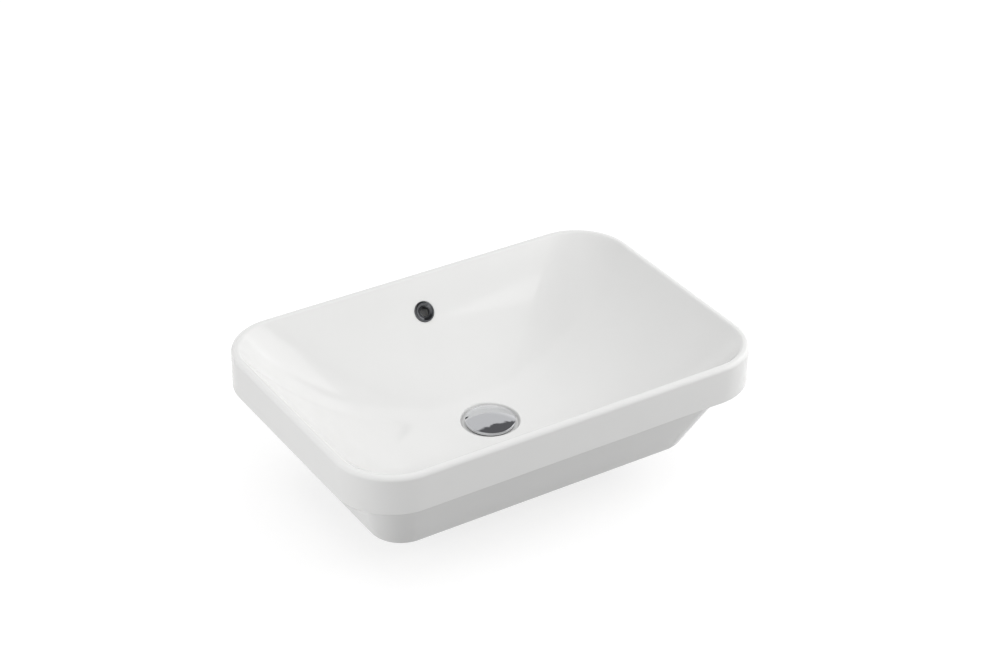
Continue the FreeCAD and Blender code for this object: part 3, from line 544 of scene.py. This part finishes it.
# Both skins of the casting as one closed profile carried round the drain: seat, bowl, rim, band,
# ledge, lower body, foot, underside, bore, then the hollow inside and back up the bore. The
# rim's inner edge and the ledge's fillet are parabolas, the rim's outer edge and the band's
# foot arcs.
def basinGrid():
    band, edge, fillet = basin["band"], basin["bandEdge"], basin["ledgeFillet"]
    seat = basin["band"] - basin["bowlDrop"] - basin["seatDrop"]
    floor, under = -basin["height"], basin["footRise"] - basin["height"]
    hollowFloor, bossFoot = under + basin["wall"], seat - basin["wall"]
    turn = np.linspace(0, np.pi / 2, 13)
    blend = np.linspace(-1, 1, 15)
    width, floorShare = basin["rimBlend"], basin["floorShare"]
    rimSlope = basin["bowlDrop"] * basin["bowlPower"] * width
    inner = blend < 0
    rimHeight = band - rimSlope * (1 - blend) ** 2 / 4
    rimIn = bowlRings(1 + width * blend[inner], rimHeight[inner])
    rimOut = bandRings(basin["innerRound"] * blend[~inner] - basin["rimWidth"], rimHeight[~inner])
    rimArc = bandRings(basin["rimRound"] * (np.sin(turn) - 1),
                       band - basin["rimRound"] * (1 - np.cos(turn)))
    bandSide = bandRings(np.zeros(12), np.concatenate([[band - basin["rimRound"] - 0.4],
                                                       np.linspace(band - 8, edge + 3, 10), [edge + 0.3]]))
    bandFoot = bandRings(edge * (np.cos(turn[::2]) - 1), edge * (1 - np.sin(turn[::2])))
    part = np.linspace(1, -1, 9)
    depth, out = fillet * (1 - part) ** 2 / 4, fillet * (1 + part) ** 2 / 4
    ledge = bodyRings(-depth)
    ledge[..., :2] *= 1 + (out / np.hypot(ledge[:, 0, 0], ledge[:, 0, 1]))[:, None, None]
    footArc = floor + basin["footRound"] * (1 - np.cos(np.radians(np.linspace(80, 0, 14))))
    bodySide = bodyRings(np.concatenate([[-fillet - 0.4], np.linspace(-fillet - 3, footArc[0] + 1, 18),
                                         footArc]))
    footInner = recessRings(np.array([1.2, 0.5, 0.12, 0]), floor + np.array([0, 0.12, 0.5, 1.2]))
    recess = recessRings(np.array([0, 0, -0.2]), np.array([floor + 1.8, under - 0.2, under]))
    boreUnder = circles(basin["bore"] + np.array([0.8, 0.24, 0, 0]),
                        under + np.array([0, 0.24, 0.8, basin["wall"] - 0.1]))
    hollowWall = hollowRings(np.linspace(hollowFloor, basin["wall"], 12))
    hollowBand = bandRings(np.full(2, -basin["wall"]), np.array([basin["wall"], band - basin["rimSolid"]]))
    bowlBack = bowlRings(np.linspace(0.943, floorShare, 24), grow=basin["wall"])
    backFloor = floorRings(floorShare, basin["boss"], 8, grow=basin["wall"])[1:]
    boss = circles(np.array([basin["boss"], basin["bore"] + 0.2, basin["bore"]]),
                   np.array([bossFoot, bossFoot, bossFoot + 0.2]))
    boreTop = circles(basin["bore"] + np.array([0, 0, 0.24, 0.8, 1.2]),
                      seat - np.array([6, 0.8, 0.24, 0, 0]))
    bowlShares = np.concatenate([np.linspace(floorShare, 0.975, 62),
                                 [0.982, 0.987, 1 - width * 1.15]])
    return np.concatenate([
        boreTop, circles(np.array([basin["seatRadius"] - 3, basin["seatRadius"] - 0.4]), seat),
        seatRings()[::-1], floorRings(floorShare, basin["seatBlend"], 20)[::-1][1:],
        bowlRings(bowlShares)[1:],
        rimIn, rimOut, bandRings(np.array([-6.6, -5.4]), band), rimArc, bandSide, bandFoot,
        between(bandFoot[-1], ledge[0], 4), ledge, bodySide,
        between(bodySide[-1], footInner[0], 3), footInner, recess,
        between(recess[-1], boreUnder[0], 10), boreUnder,
        between(boreUnder[-1], hollowWall[0], 8), hollowWall, hollowBand, bowlBack, backFloor, boss,
    ])


# The overflow's place on the bowl's back wall, and the turn that sets a piece square to it.
def overflowPlace():
    share = (1 - basin["overflowDrop"] / basin["bowlDrop"]) ** (1 / basin["bowlPower"])
    slope = basin["bowlDrop"] * basin["bowlPower"] * share ** (basin["bowlPower"] - 1)
    tilt = math.atan2(slope, bowlHalfDepth)
    place = Vector((0, bowlHalfDepth * share, basin["band"] - basin["overflowDrop"]))
    return place, Matrix.Rotation(tilt, 4, "X")


# Moves a mesh made round the origin to the overflow, square to the wall.
def placeOnWall(mesh):
    place, tilt = overflowPlace()
    mesh.transform(Matrix.Translation(place * mm) @ tilt)


# A mesh with the cutters' room taken out of it.
def cutOut(mesh, cutters):
    body = addObject("cutWork", mesh)
    tools = []
    for cutter in cutters:
        tool = addObject("cutTool", cutter)
        tools.append(tool)
        change = body.modifiers.new("cut", "BOOLEAN")
        change.operation, change.solver, change.object = "DIFFERENCE", "EXACT", tool
    result = bpy.data.meshes.new_from_object(body.evaluated_get(bpy.context.evaluated_depsgraph_get()))
    for spare in [body] + tools:
        bpy.data.objects.remove(spare)
    return result


# The casting, with the overflow's shallow seat and its hole cut into the bowl's wall.
def makeBasin():
    mesh = makeMesh("basinSkin", basinGrid())
    above, below = 4, 14
    cutters = []
    for name, radius, depth in (("seatCut", basin["overflowSeat"], basin["seatSink"]),
                                ("holeCut", basin["overflowBore"], below)):
        profile = np.array([(0, above), (radius, above), (radius, -depth), (0, -depth)], float)
        cutters.append(makeMesh(name, turned(profile, 96)))
        placeOnWall(cutters[-1])
    mesh = cutOut(mesh, cutters)
    finishShading(mesh, 35)
    addPiece("basinBody", mesh, glaze, "root", "basin_body")


makeBasin()
print("basin made")

ring = {"outer": 13.5, "thick": 2.6, "throat": 6.25, "bead": 2.2, "lip": 1.8, "wall": 1.4,
        "sleeve": 10.75, "barb": 0.8, "hold": -6.85, "tip": -9.6, "sink": 0.4}


# The ring turned about its own axis: a rolled face round the throat, and behind it a thin
# sleeve with a barb.
def makeOverflowRing():
    r = ring
    profile = softProfile([
        (r["throat"], r["lip"], 0.35), (r["throat"] + 0.75 * r["wall"], r["lip"], 0.5),
        (r["throat"] + r["wall"], r["lip"] / 2, 0.35),
        (r["outer"] - r["bead"], r["thick"], 1.1), (r["outer"] - 0.45, r["thick"] - 0.9, 1.2),
        (r["outer"], 0, 0.15), (r["sleeve"], 0, 0), (r["sleeve"], r["hold"], 0.2),
        (r["sleeve"] + r["barb"], r["hold"], 0.2), (r["sleeve"], r["tip"], 0.2),
        (r["sleeve"] - r["wall"], r["tip"], 0.2), (r["sleeve"] - r["wall"], -r["wall"] / 2, 0.2),
        (r["throat"], -r["wall"] / 2, 0.2),
    ])
    mesh = makeMesh("overflowRingSkin", turned(profile, 160))
    mesh.transform(Matrix.Translation((0, 0, -r["sink"] * mm)))
    placeOnWall(mesh)
    # Chrome with painted shade: its dark metal colour stands in for the ring's darker reflections.
    addPiece("overflowRing", mesh, chromeWithPaintedShade, "root", "overflow_ring")


makeOverflowRing()
print("overflow ring made")

waste = {
    "flangeTop": -61, "flange": 30.5, "flangeUnder": -63.5, "plugSeat": 22, "bore": 18,
    "tube": 20.955, "tail": -145.5, "tailChamfer": 1.5, "pitch": 2.309, "threadDepth": 1.2,
    "threadTop": -92, "hubTop": -105.5, "hubHeight": 6, "hub": 8.5, "hubBore": 5, "spoke": 4,
    "slotLow": -85, "slotHigh": -73.5, "slotWidth": 20, "slotReach": 23,
}


# The waste's flange and tube: the bore inside, and outside a plain neck, then a helical thread
# that fades in at its top and runs off the chamfer at the tail.
def wasteGrid(columns=96):
    w = waste
    angle = circleAngles(columns)
    inside = softProfile([(w["bore"], w["tail"], 0), (w["bore"], w["flangeTop"] - 4, 1.5),
                          (w["plugSeat"], w["flangeTop"], 0.4), (w["flange"], w["flangeTop"], 0.8),
                          (w["flange"], w["flangeUnder"], 0.15), (w["tube"], w["flangeUnder"], 0)],
                         closed=False)
    neck = np.array([[w["tube"], w["flangeUnder"] - 1], [w["tube"], w["threadTop"] + 3]])
    smooth = turned(np.concatenate([inside, neck]), columns)
    height = np.linspace(w["threadTop"] + 2.5, w["tail"], round((w["threadTop"] - w["tail"]) * 5))[:, None]
    fade = np.clip((w["threadTop"] - height) / w["pitch"], 0, 1)
    crest = w["tube"] - np.clip(w["tail"] + w["tailChamfer"] - height, 0, None)
    root = w["tube"] - w["threadDepth"] * fade * threadWave(angle, height, w["pitch"])
    return np.concatenate([smooth, aroundAxis(np.minimum(root, crest), angle, height)])


# The ring of the hub that holds the cartridge.
def hubGrid():
    w = waste
    low = w["hubTop"] - w["hubHeight"]
    return turned(softProfile([(w["hubBore"], low, 0.4), (w["hub"], low, 0.6),
                               (w["hub"], w["hubTop"], 0.6), (w["hubBore"], w["hubTop"], 0.4)]), 72)


# Three rounded bars that run from the hub into the tube's wall, each a squared circle carried
# along a radius.
def spokeGrids():
    w = waste
    middle = w["hubTop"] - w["hubHeight"] / 2
    wide, tall = squaredCircle(circleAngles(48), 0.35)
    size = np.array([0, 1, 1, 0])[:, None]
    along = np.array([w["hubBore"] + 1, w["hubBore"] + 1.001, w["bore"] + 1.5, w["bore"] + 1.501])[:, None]
    aside, rise = wide * w["spoke"] / 2 * size, tall * w["hubHeight"] / 2 * size
    grids = []
    for way in np.radians([0, 120, 240]):
        x = along * math.cos(way) - aside * math.sin(way)
        y = along * math.sin(way) + aside * math.cos(way)
        grids.append(np.stack([x, y, middle + rise], axis=-1))
    return grids


# A squared circle carried right across the tube, which cuts the two overflow slots.
def slotGrid():
    w = waste
    wide, tall = squaredCircle(circleAngles(40), 0.3)
    size = np.array([0, 1, 1, 0])[:, None]
    across = w["slotReach"] * np.array([-1, -1, 1, 1])[:, None]
    level = (w["slotHigh"] + w["slotLow"]) / 2
    rise = tall * (w["slotHigh"] - w["slotLow"]) / 2 * size
    return np.stack([wide * w["slotWidth"] / 2 * size, across + 0 * rise, level + rise], axis=-1)


# The waste: the slotted tube, the hub and its spokes in one mesh.
def makeWaste():
    tube = cutOut(makeMesh("wasteTube", wasteGrid()), [makeBar("slotTool", slotGrid())])
    work = bmesh.new()
    work.from_mesh(tube)
    work.from_mesh(makeMesh("wasteHub", hubGrid()))
    for index, grid in enumerate(spokeGrids()):
        work.from_mesh(makeBar(f"wasteSpoke{index}", grid))
    work.to_mesh(tube)
    work.free()
    finishShading(tube, 32)
    addPiece("wasteBody", tube, chrome, "root", "waste_body")


makeWaste()


# A closed outline with rounded corners turned about the upright axis.
def makeTurned(name, node, corners, material, body="root", columns=128):
    mesh = makeMesh(name + "Skin", turned(softProfile(corners), columns))
    addPiece(name, mesh, material, body, node)


def washerCorners(inner, outer, low, high, rounding):
    return [(radius, height, rounding)
            for radius, height in ((inner, low), (outer, low), (outer, high), (inner, high))]


seals = {"tubeFit": 21.255, "gasket": (30, -65, -63.5), "slip": (29, -104, -102.5),
         "washer": 31, "washerNeck": 26, "washerTop": -93.5, "washerFoot": -102.5}
for name, node, key, rounding, material in (("flangeGasket", "flange_gasket", "gasket", 0.3, rubber),
                                            ("slipWasher", "slip_washer", "slip", 0.25, polythene)):
    makeTurned(name, node, washerCorners(seals["tubeFit"], *seals[key], rounding), material)
makeTurned("taperWasher", "taper_washer", [
    (seals["tubeFit"], seals["washerTop"], 0.5), (seals["tubeFit"], seals["washerFoot"], 0.5),
    (seals["washerNeck"], seals["washerFoot"], 0.8), (seals["washer"], seals["washerTop"] - 3, 0.8),
    (seals["washer"], seals["washerTop"], 0.6)], rubber)

nut = {"top": -104, "height": 10, "flats": 26, "bore": 21.075, "mouth": 1.4, "pitch": waste["pitch"],
       "threadDepth": 0.12}


# The backnut: at each angle and height the lesser of the hexagon and the bevel cones, and
# inside it a shallow thread between two chamfered mouths.
def makeBacknut():
    angle = circleAngles(192)
    corner = nut["flats"] / math.cos(math.pi / 6)
    low, high = nut["top"] - nut["height"], nut["top"]
    bevel = (corner - nut["flats"]) * math.tan(math.pi / 6)
    height = np.concatenate([np.linspace(low, low + bevel, 10),
                             np.linspace(low + bevel, high - bevel, 6)[1:-1],
                             np.linspace(high - bevel, high, 10)])[:, None]
    cone = nut["flats"] + np.minimum(height - low, high - height) / math.tan(math.pi / 6)
    outer = np.minimum(polygonRadius(angle, nut["flats"], 6), cone)
    inside = np.linspace(high, low, 52)[:, None]
    mouth = np.clip(nut["mouth"] - np.minimum(high - inside, inside - low), 0, None)
    inner = nut["bore"] + mouth + nut["threadDepth"] * threadWave(angle, inside, nut["pitch"])
    grid = aroundAxis(np.concatenate([outer, inner]), angle, np.concatenate([height, inside]))
    addPiece("backnut", makeMesh("backnutSkin", grid, 20), brass, "root", "backnut")


makeBacknut()
print("waste made")

plug = {"radius": 31.5, "edgeLow": -60.7, "edge": 1.4, "rise": 5.2, "skin": 1.6, "wall": 2.2,
        "sealTop": -59.5, "seal": 4, "boss": 6.5, "bossLow": -65.5, "seat": 22, "stem": 4,
        "collar": 4.9, "collarTop": -84.4, "flute": 4.1, "halfFlute": 1, "camTop": -87.4, "pin": 1.8,
        "pinFoot": -95.4, "threadGap": 0.12, "socket": 7, "brow": 0.9, "roll": 0.6}


# The cap: a shallow dome that is part of a sphere, a rolled edge, the hollow behind it and the
# boss that screws on to the plunger.
def makeCap():
    p = plug
    edgeTop = p["edgeLow"] + p["edge"]
    top = edgeTop + p["rise"]
    dome = (p["radius"] ** 2 + p["rise"] ** 2) / (2 * p["rise"])
    radius = np.linspace(0, p["radius"] - p["brow"], 40)
    upper = np.stack([radius, top - dome + np.sqrt(dome ** 2 - radius ** 2)], axis=-1)
    side = edgeTop - p["roll"]
    shoulder = bend(upper[-1], np.array([p["radius"], edgeTop]), np.array([p["radius"], side]), 9)
    under = np.linspace(p["radius"] - p["wall"], p["seat"] + 1.5, 10)
    hollow = np.stack([under, top - dome + np.sqrt((dome - p["skin"]) ** 2 - under ** 2)], axis=-1)
    rolled = softProfile([(p["radius"], side, 0), (p["radius"], p["edgeLow"], 0.4),
                          (p["radius"] - p["wall"], p["edgeLow"], 0.4), (*hollow[0], 0)], closed=False)
    bore, socketTop = p["stem"] + p["threadGap"], p["bossLow"] + p["socket"]
    back = softProfile([(*hollow[-1], 0), (p["seat"] + 1.5, p["sealTop"], 0), (p["boss"], p["sealTop"], 0),
                        (p["boss"], p["bossLow"], 0.5), (bore, p["bossLow"], 0.3), (bore, socketTop, 0),
                        (0, socketTop, 0)], closed=False)
    profile = np.concatenate([upper, shoulder[1:], rolled[1:-1], hollow, back[1:]])
    addPiece("popUpCap", makeMesh("capSkin", turned(profile, 160)), chrome, "plug", "pop_up_cap")


makeCap()
sealOuter, sealInner = plug["seat"] - 0.45, plug["boss"] + plug["threadGap"]
sealLow = plug["sealTop"] - plug["seal"]
makeTurned("capSeal", "cap_seal", [
    (sealInner, plug["sealTop"], 0.3), (sealInner, sealLow, 0.3), (sealOuter - 2.5, sealLow, 0.6),
    (sealOuter, waste["flangeTop"], 0.6), (sealOuter, plug["sealTop"], 0.3)], rubber, "plug")


# The plunger's stem, its fluted collar and the pin that the cam turns on.
def makePlunger():
    p = plug
    top = p["bossLow"] + p["socket"] - p["threadGap"]
    profile = softProfile([(0, top, 0), (p["stem"], top, 0.6), (p["stem"], p["collarTop"], 0.15),
                           (p["collar"], p["collarTop"], 0.25), (p["collar"], p["camTop"], 0.25),
                           (p["pin"], p["camTop"], 0.15), (p["pin"], p["pinFoot"], 0.4),
                           (0, p["pinFoot"], 0)], closed=False)
    grid = turned(profile, 144)
    cutFlutes(grid, p["collar"], p["flute"], p["halfFlute"])
    addPiece("plunger", makeMesh("plungerSkin", grid), brass, "plug", "plunger")


makePlunger()

cartridge = {"outer": 7, "bore": 5.3, "stemBore": 4.3, "top": -70, "guide": 5, "foot": -102.5,
             "collar": 7, "collarLow": -105.5, "spigot": 4.88, "spigotFoot": -113, "pilot": 5.18,
             "pilotTop": -99.5, "bevel": 0.3, "lead": 1}


# The housing: a tube with a narrow guide for the stem at its top.
def makeHousing():
    c = cartridge
    guideLow = c["top"] - c["guide"]
    makeTurned("cartridgeHousing", "cartridge_housing", [
        (c["stemBore"], c["top"], 0.3), (c["stemBore"], guideLow, 0.2), (c["bore"], guideLow, 0.1),
        (c["bore"], c["foot"], 0.2), (c["outer"], c["foot"], 0.2), (c["outer"], c["top"] - c["lead"], 0.3),
        (c["outer"] - c["lead"], c["top"], 0.3)], brass, columns=96)


# The cartridge's end plug: a round pilot, a bevelled hexagonal collar and a round spigot, one
# below the other.
def makeEndPlug():
    c = cartridge
    angle, bevel, lead = circleAngles(144), c["bevel"], c["lead"]
    hexagon = polygonRadius(angle, c["collar"], 6)
    rows = [(0, c["pilotTop"]), (c["pilot"] - 0.18, c["pilotTop"]), (c["pilot"], c["pilotTop"] - 0.2),
            (c["pilot"], c["foot"]), (hexagon - bevel, c["foot"]), (hexagon, c["foot"] - bevel),
            (hexagon, c["collarLow"] + bevel), (hexagon - bevel, c["collarLow"]),
            (c["spigot"], c["collarLow"]), (c["spigot"], c["spigotFoot"] + lead),
            (c["spigot"] - lead, c["spigotFoot"]), (0, c["spigotFoot"])]
    radius = np.stack([reach + 0 * angle for reach, level in rows])
    grid = aroundAxis(radius, angle, np.array([level for reach, level in rows])[:, None])
    addPiece("cartridgePlug", makeMesh("endPlugSkin", grid, 25), brass, "root", "cartridge_plug")


makeHousing()
makeEndPlug()

spring = {"wire": 0.9, "radius": 3.55, "low": -99.5, "high": -90.6, "turns": 5}


# The spring: a circle carried along a helix, square to it, with closed ends. It is made once, running from
# the cartridge, which stays, up to the plug as it stands at rest, and does not follow the plug.
def makeSpring():
    s = spring
    low, high = s["low"] + s["wire"] / 2, s["high"] - s["wire"] / 2
    turn = np.linspace(0, 2 * np.pi * s["turns"], 48 * s["turns"] + 1)
    climb = (high - low) / turn[-1]
    centre = np.stack([s["radius"] * np.cos(turn), s["radius"] * np.sin(turn), low + climb * turn], axis=-1)
    outward = np.stack([np.cos(turn), np.sin(turn), 0 * turn], axis=-1)
    way = np.stack([-s["radius"] * np.sin(turn), s["radius"] * np.cos(turn), climb + 0 * turn], axis=-1)
    way /= np.linalg.norm(way, axis=-1, keepdims=True)
    upward = np.cross(outward, way)
    section = circleAngles(20)
    size = np.ones(len(turn))
    size[[0, -1]] = 0
    offset = outward[:, None] * np.cos(section)[:, None] + upward[:, None] * np.sin(section)[:, None]
    body = centre[:, None] + offset * (s["wire"] / 2 * size)[:, None, None]
    first = centre[:1, None] + offset[:1] * s["wire"] / 2
    last = centre[-1:, None] + offset[-1:] * s["wire"] / 2
    grid = np.concatenate([body[:1], first, body[1:-1], last, body[-1:]])
    mesh = makeBar("springSkin", grid)
    finishShading(mesh, 40)
    piece = addObject("cartridgeSpring", mesh)
    mesh.materials.append(springSteel)
    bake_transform(piece)
    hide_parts("cartridge_spring")


makeSpring()

gland = {"wire": 1.5, "middle": 5.05, "level": -72.5}


# The gland's ring: a circle carried round the plunger.
def makeGlandRing():
    turn = circleAngles(28)
    section = np.stack([gland["middle"] + gland["wire"] / 2 * np.cos(turn),
                        gland["level"] + gland["wire"] / 2 * np.sin(turn)], axis=-1)
    mesh = makeMesh("glandRingSkin", turned(section, 96), 60)
    addPiece("plungerRing", mesh, rubber, "root", "plunger_oring")


cam = {"bore": 2.2, "outer": 4.9, "flute": 4.1, "halfFlute": 1, "high": -87.4, "low": -90.6}


# The index cam: a ring with four flutes cut along it.
def makeIndexCam():
    grid = turned(softProfile([(cam["bore"], cam["low"], 0.1), (cam["outer"], cam["low"], 0.2),
                               (cam["outer"], cam["high"], 0.2), (cam["bore"], cam["high"], 0.1)]), 240)
    cutFlutes(grid, cam["outer"], cam["flute"], cam["halfFlute"])
    addPiece("indexCam", makeMesh("indexCamSkin", grid, 25), acetal, "plug", "index_cam")


makeGlandRing()
makeIndexCam()
print("plug and cartridge made")


# The way to a place round the basin: azimuth 0 is in front of it and 90 on its right.
def directionTo(azimuth, elevation):
    turn, rise = math.radians(azimuth), math.radians(elevation)
    return Vector((math.sin(turn) * math.cos(rise), -math.cos(turn) * math.cos(rise), math.sin(rise)))


camera = {"azimuth": -33.241, "elevation": 31.842, "roll": 1.148, "distance": 2818, "aside": 9.8,
          "above": 11.65, "aimHeight": 50, "lens": 84.71}


# The photograph's camera: it stands off the basin's middle, moved aside and up in its own frame.
def makeCamera():
    turn, roll = math.radians(camera["azimuth"]), math.radians(camera["roll"])
    back = directionTo(camera["azimuth"], camera["elevation"])
    right = Vector((math.cos(turn), math.sin(turn), 0))
    up = back.cross(right)
    place = Vector((0, 0, camera["aimHeight"])) + back * camera["distance"]
    place += right * camera["aside"] + up * camera["above"]
    across = right * math.cos(roll) + up * math.sin(roll)
    upward = up * math.cos(roll) - right * math.sin(roll)
    view = bpy.data.cameras.new("view")
    view.lens, view.sensor_width, view.clip_start = camera["lens"], 36, 0.05
    holder = addObject("view", view)
    facing = Matrix((across, upward, back)).transposed().to_4x4()
    holder.matrix_world = Matrix.Translation(place * mm) @ facing
    bpy.context.scene.camera = holder


makeCamera()

paper = {"white": "a0a0a0", "rough": 0.9, "glow": 0.74, "half": 6}


# White paper sweep. Camera, mirrored and transmitted rays see it with a glow of its own on top
# of the light, so that it is white with only the object's soft shadow left on it.
def makeFloor():
    material, tree = newMaterial("whitePaper")[:2]
    ray = addNode(tree, "LightPath")
    straight = addNode(tree, "Math", {"operation": "MAXIMUM"},
                       {0: ray.outputs["Is Camera Ray"], 1: ray.outputs["Is Glossy Ray"]})
    seen = addNode(tree, "Math", {"operation": "MAXIMUM"},
                   {0: straight.outputs[0], 1: ray.outputs["Is Transmission Ray"]})
    matt = addNode(tree, "BsdfPrincipled", {"Base Color": toLinear(paper["white"]),
                                            "Roughness": paper["rough"]})
    glow = addNode(tree, "Emission", {"Color": toLinear("ffffff"), "Strength": paper["glow"]})
    both = addNode(tree, "AddShader", links={0: matt.outputs[0], 1: glow.outputs[0]})
    mixed = addNode(tree, "MixShader", links={0: seen.outputs[0], 1: matt.outputs[0], 2: both.outputs[0]})
    finishMaterial(tree, mixed.outputs[0])
    mesh = bpy.data.meshes.new("floorSheet")
    half, level = paper["half"], cadBounds[0][2]
    corners = [(x * half, y * half, level) for x, y in ((-1, -1), (1, -1), (1, 1), (-1, 1))]
    mesh.from_pydata(corners, [], [(0, 1, 2, 3)])
    floor = addObject("floor", mesh)
    mesh.materials.append(material)


makeFloor()

# The studio round the basin. Matt surfaces take a light from above, which leans to the right.
# Mirrors show a white backdrop that greys towards the ceiling, and a ragged dark zone overhead
# in front, which ends on the left. The lamps that aren't mirrored only fill in.
studio = {"light": 1.085, "lightAzimuth": 80, "lightElevation": 79, "white": "ffffff",
          "ceiling": "d2d2d3", "ceilingFrom": 0.3, "ceilingTo": 0.5, "dark": "606062",
          "darkBehind": 0.46, "darkAbove": 0.42, "darkLeft": -0.25, "ragScale": 9, "ragDepth": 0.16}
lamps = [
    {"name": "rightBox", "azimuth": 76, "elevation": 36, "distance": 3, "size": (3.4, 1.2), "power": 14,
     "mirrored": True},
    {"name": "frontBox", "azimuth": 56, "elevation": 18, "distance": 1.7, "size": (1.4, 0.9), "power": 9,
     "mirrored": False},
    {"name": "leftBox", "azimuth": 277, "elevation": 15, "distance": 1.5, "size": (1.8, 1.0), "power": 9.5,
     "mirrored": False},
]


# The world's light: one shade for matt surfaces, one for mirrors, and white for the camera.
def makeStudio():
    sky = bpy.data.worlds.new("studio")
    bpy.context.scene.world = sky
    sky.use_nodes = True
    tree = sky.node_tree
    tree.nodes.clear()
    ray = addNode(tree, "LightPath")
    way = addNode(tree, "TexCoord").outputs["Generated"]
    height = addNode(tree, "SeparateXYZ", links={"Vector": way})
    rise = addNode(tree, "MapRange", {"From Min": studio["ceilingFrom"], "From Max": studio["ceilingTo"]},
                   {"Value": height.outputs["Z"]})
    tints = {6: toLinear(studio["white"]), 7: toLinear(studio["ceiling"])}
    room = addNode(tree, "Mix", {"data_type": "RGBA", **tints}, {"Factor": rise.outputs["Result"]})
    clutter = addNode(tree, "TexNoise", {"Scale": studio["ragScale"], "Detail": 2}, {"Vector": way})
    ragged = addNode(tree, "Math", {"operation": "MULTIPLY_ADD", 1: studio["ragDepth"],
                                    2: -studio["ragDepth"] / 2}, {0: clutter.outputs[0]})
    edge = addNode(tree, "Math", {"operation": "ADD"}, {0: height.outputs["Y"], 1: ragged.outputs[0]})
    inFront = addNode(tree, "MapRange", {"From Min": studio["darkBehind"] + 0.02,
                                         "From Max": studio["darkBehind"] - 0.02},
                      {"Value": edge.outputs[0]})
    overhead = addNode(tree, "MapRange", {"From Min": studio["darkAbove"] - 0.05,
                                          "From Max": studio["darkAbove"] + 0.05},
                       {"Value": height.outputs["Z"]})
    inside = addNode(tree, "MapRange", {"From Min": studio["darkLeft"] - 0.15,
                                        "From Max": studio["darkLeft"] + 0.1},
                     {"Value": height.outputs["X"]})
    higher = addNode(tree, "Math", {"operation": "MULTIPLY"},
                     {0: inFront.outputs["Result"], 1: overhead.outputs["Result"]})
    zone = addNode(tree, "Math", {"operation": "MULTIPLY"},
                   {0: higher.outputs[0], 1: inside.outputs["Result"]})
    mirrored = addNode(tree, "Mix", {"data_type": "RGBA", 7: toLinear(studio["dark"])},
                       {"Factor": zone.outputs[0], 6: room.outputs[2]})
    lit = directionTo(studio["lightAzimuth"], studio["lightElevation"])
    above = addNode(tree, "VectorMath", {"operation": "DOT_PRODUCT", 1: lit}, {0: way})
    strength = addNode(tree, "MapRange", {"To Max": studio["light"]}, {"Value": above.outputs["Value"]})
    light = addNode(tree, "Background", {"Color": toLinear(studio["white"])},
                    {"Strength": strength.outputs["Result"]})
    mirror = addNode(tree, "Background", {"Strength": 1}, {"Color": mirrored.outputs[2]})
    seen = addNode(tree, "Background", {"Color": toLinear(studio["white"]), "Strength": 1})
    through = addNode(tree, "Math", {"operation": "MAXIMUM"},
                      {0: ray.outputs["Is Camera Ray"], 1: ray.outputs["Is Transmission Ray"]})
    shown = addNode(tree, "MixShader", links={0: ray.outputs["Is Glossy Ray"], 1: light.outputs[0],
                                              2: mirror.outputs[0]})
    backdrop = addNode(tree, "MixShader", links={0: through.outputs[0], 1: shown.outputs[0],
                                                 2: seen.outputs[0]})
    addNode(tree, "OutputWorld", links={"Surface": backdrop.outputs[0]})


# A soft box that faces the basin.
def makeLamp(lamp):
    light = bpy.data.lights.new(lamp["name"], "AREA")
    light.shape = "RECTANGLE"
    light.size, light.size_y = lamp["size"]
    light.energy = lamp["power"]
    holder = addObject(lamp["name"], light)
    holder.visible_glossy = lamp["mirrored"]
    place = directionTo(lamp["azimuth"], lamp["elevation"]) * lamp["distance"]
    holder.matrix_world = Matrix.Translation(place) @ place.to_track_quat("Z", "Y").to_matrix().to_4x4()


makeStudio()
for lamp in lamps:
    makeLamp(lamp)
bpy.context.scene.view_settings.view_transform = "Standard"
print("camera, floor and light made")
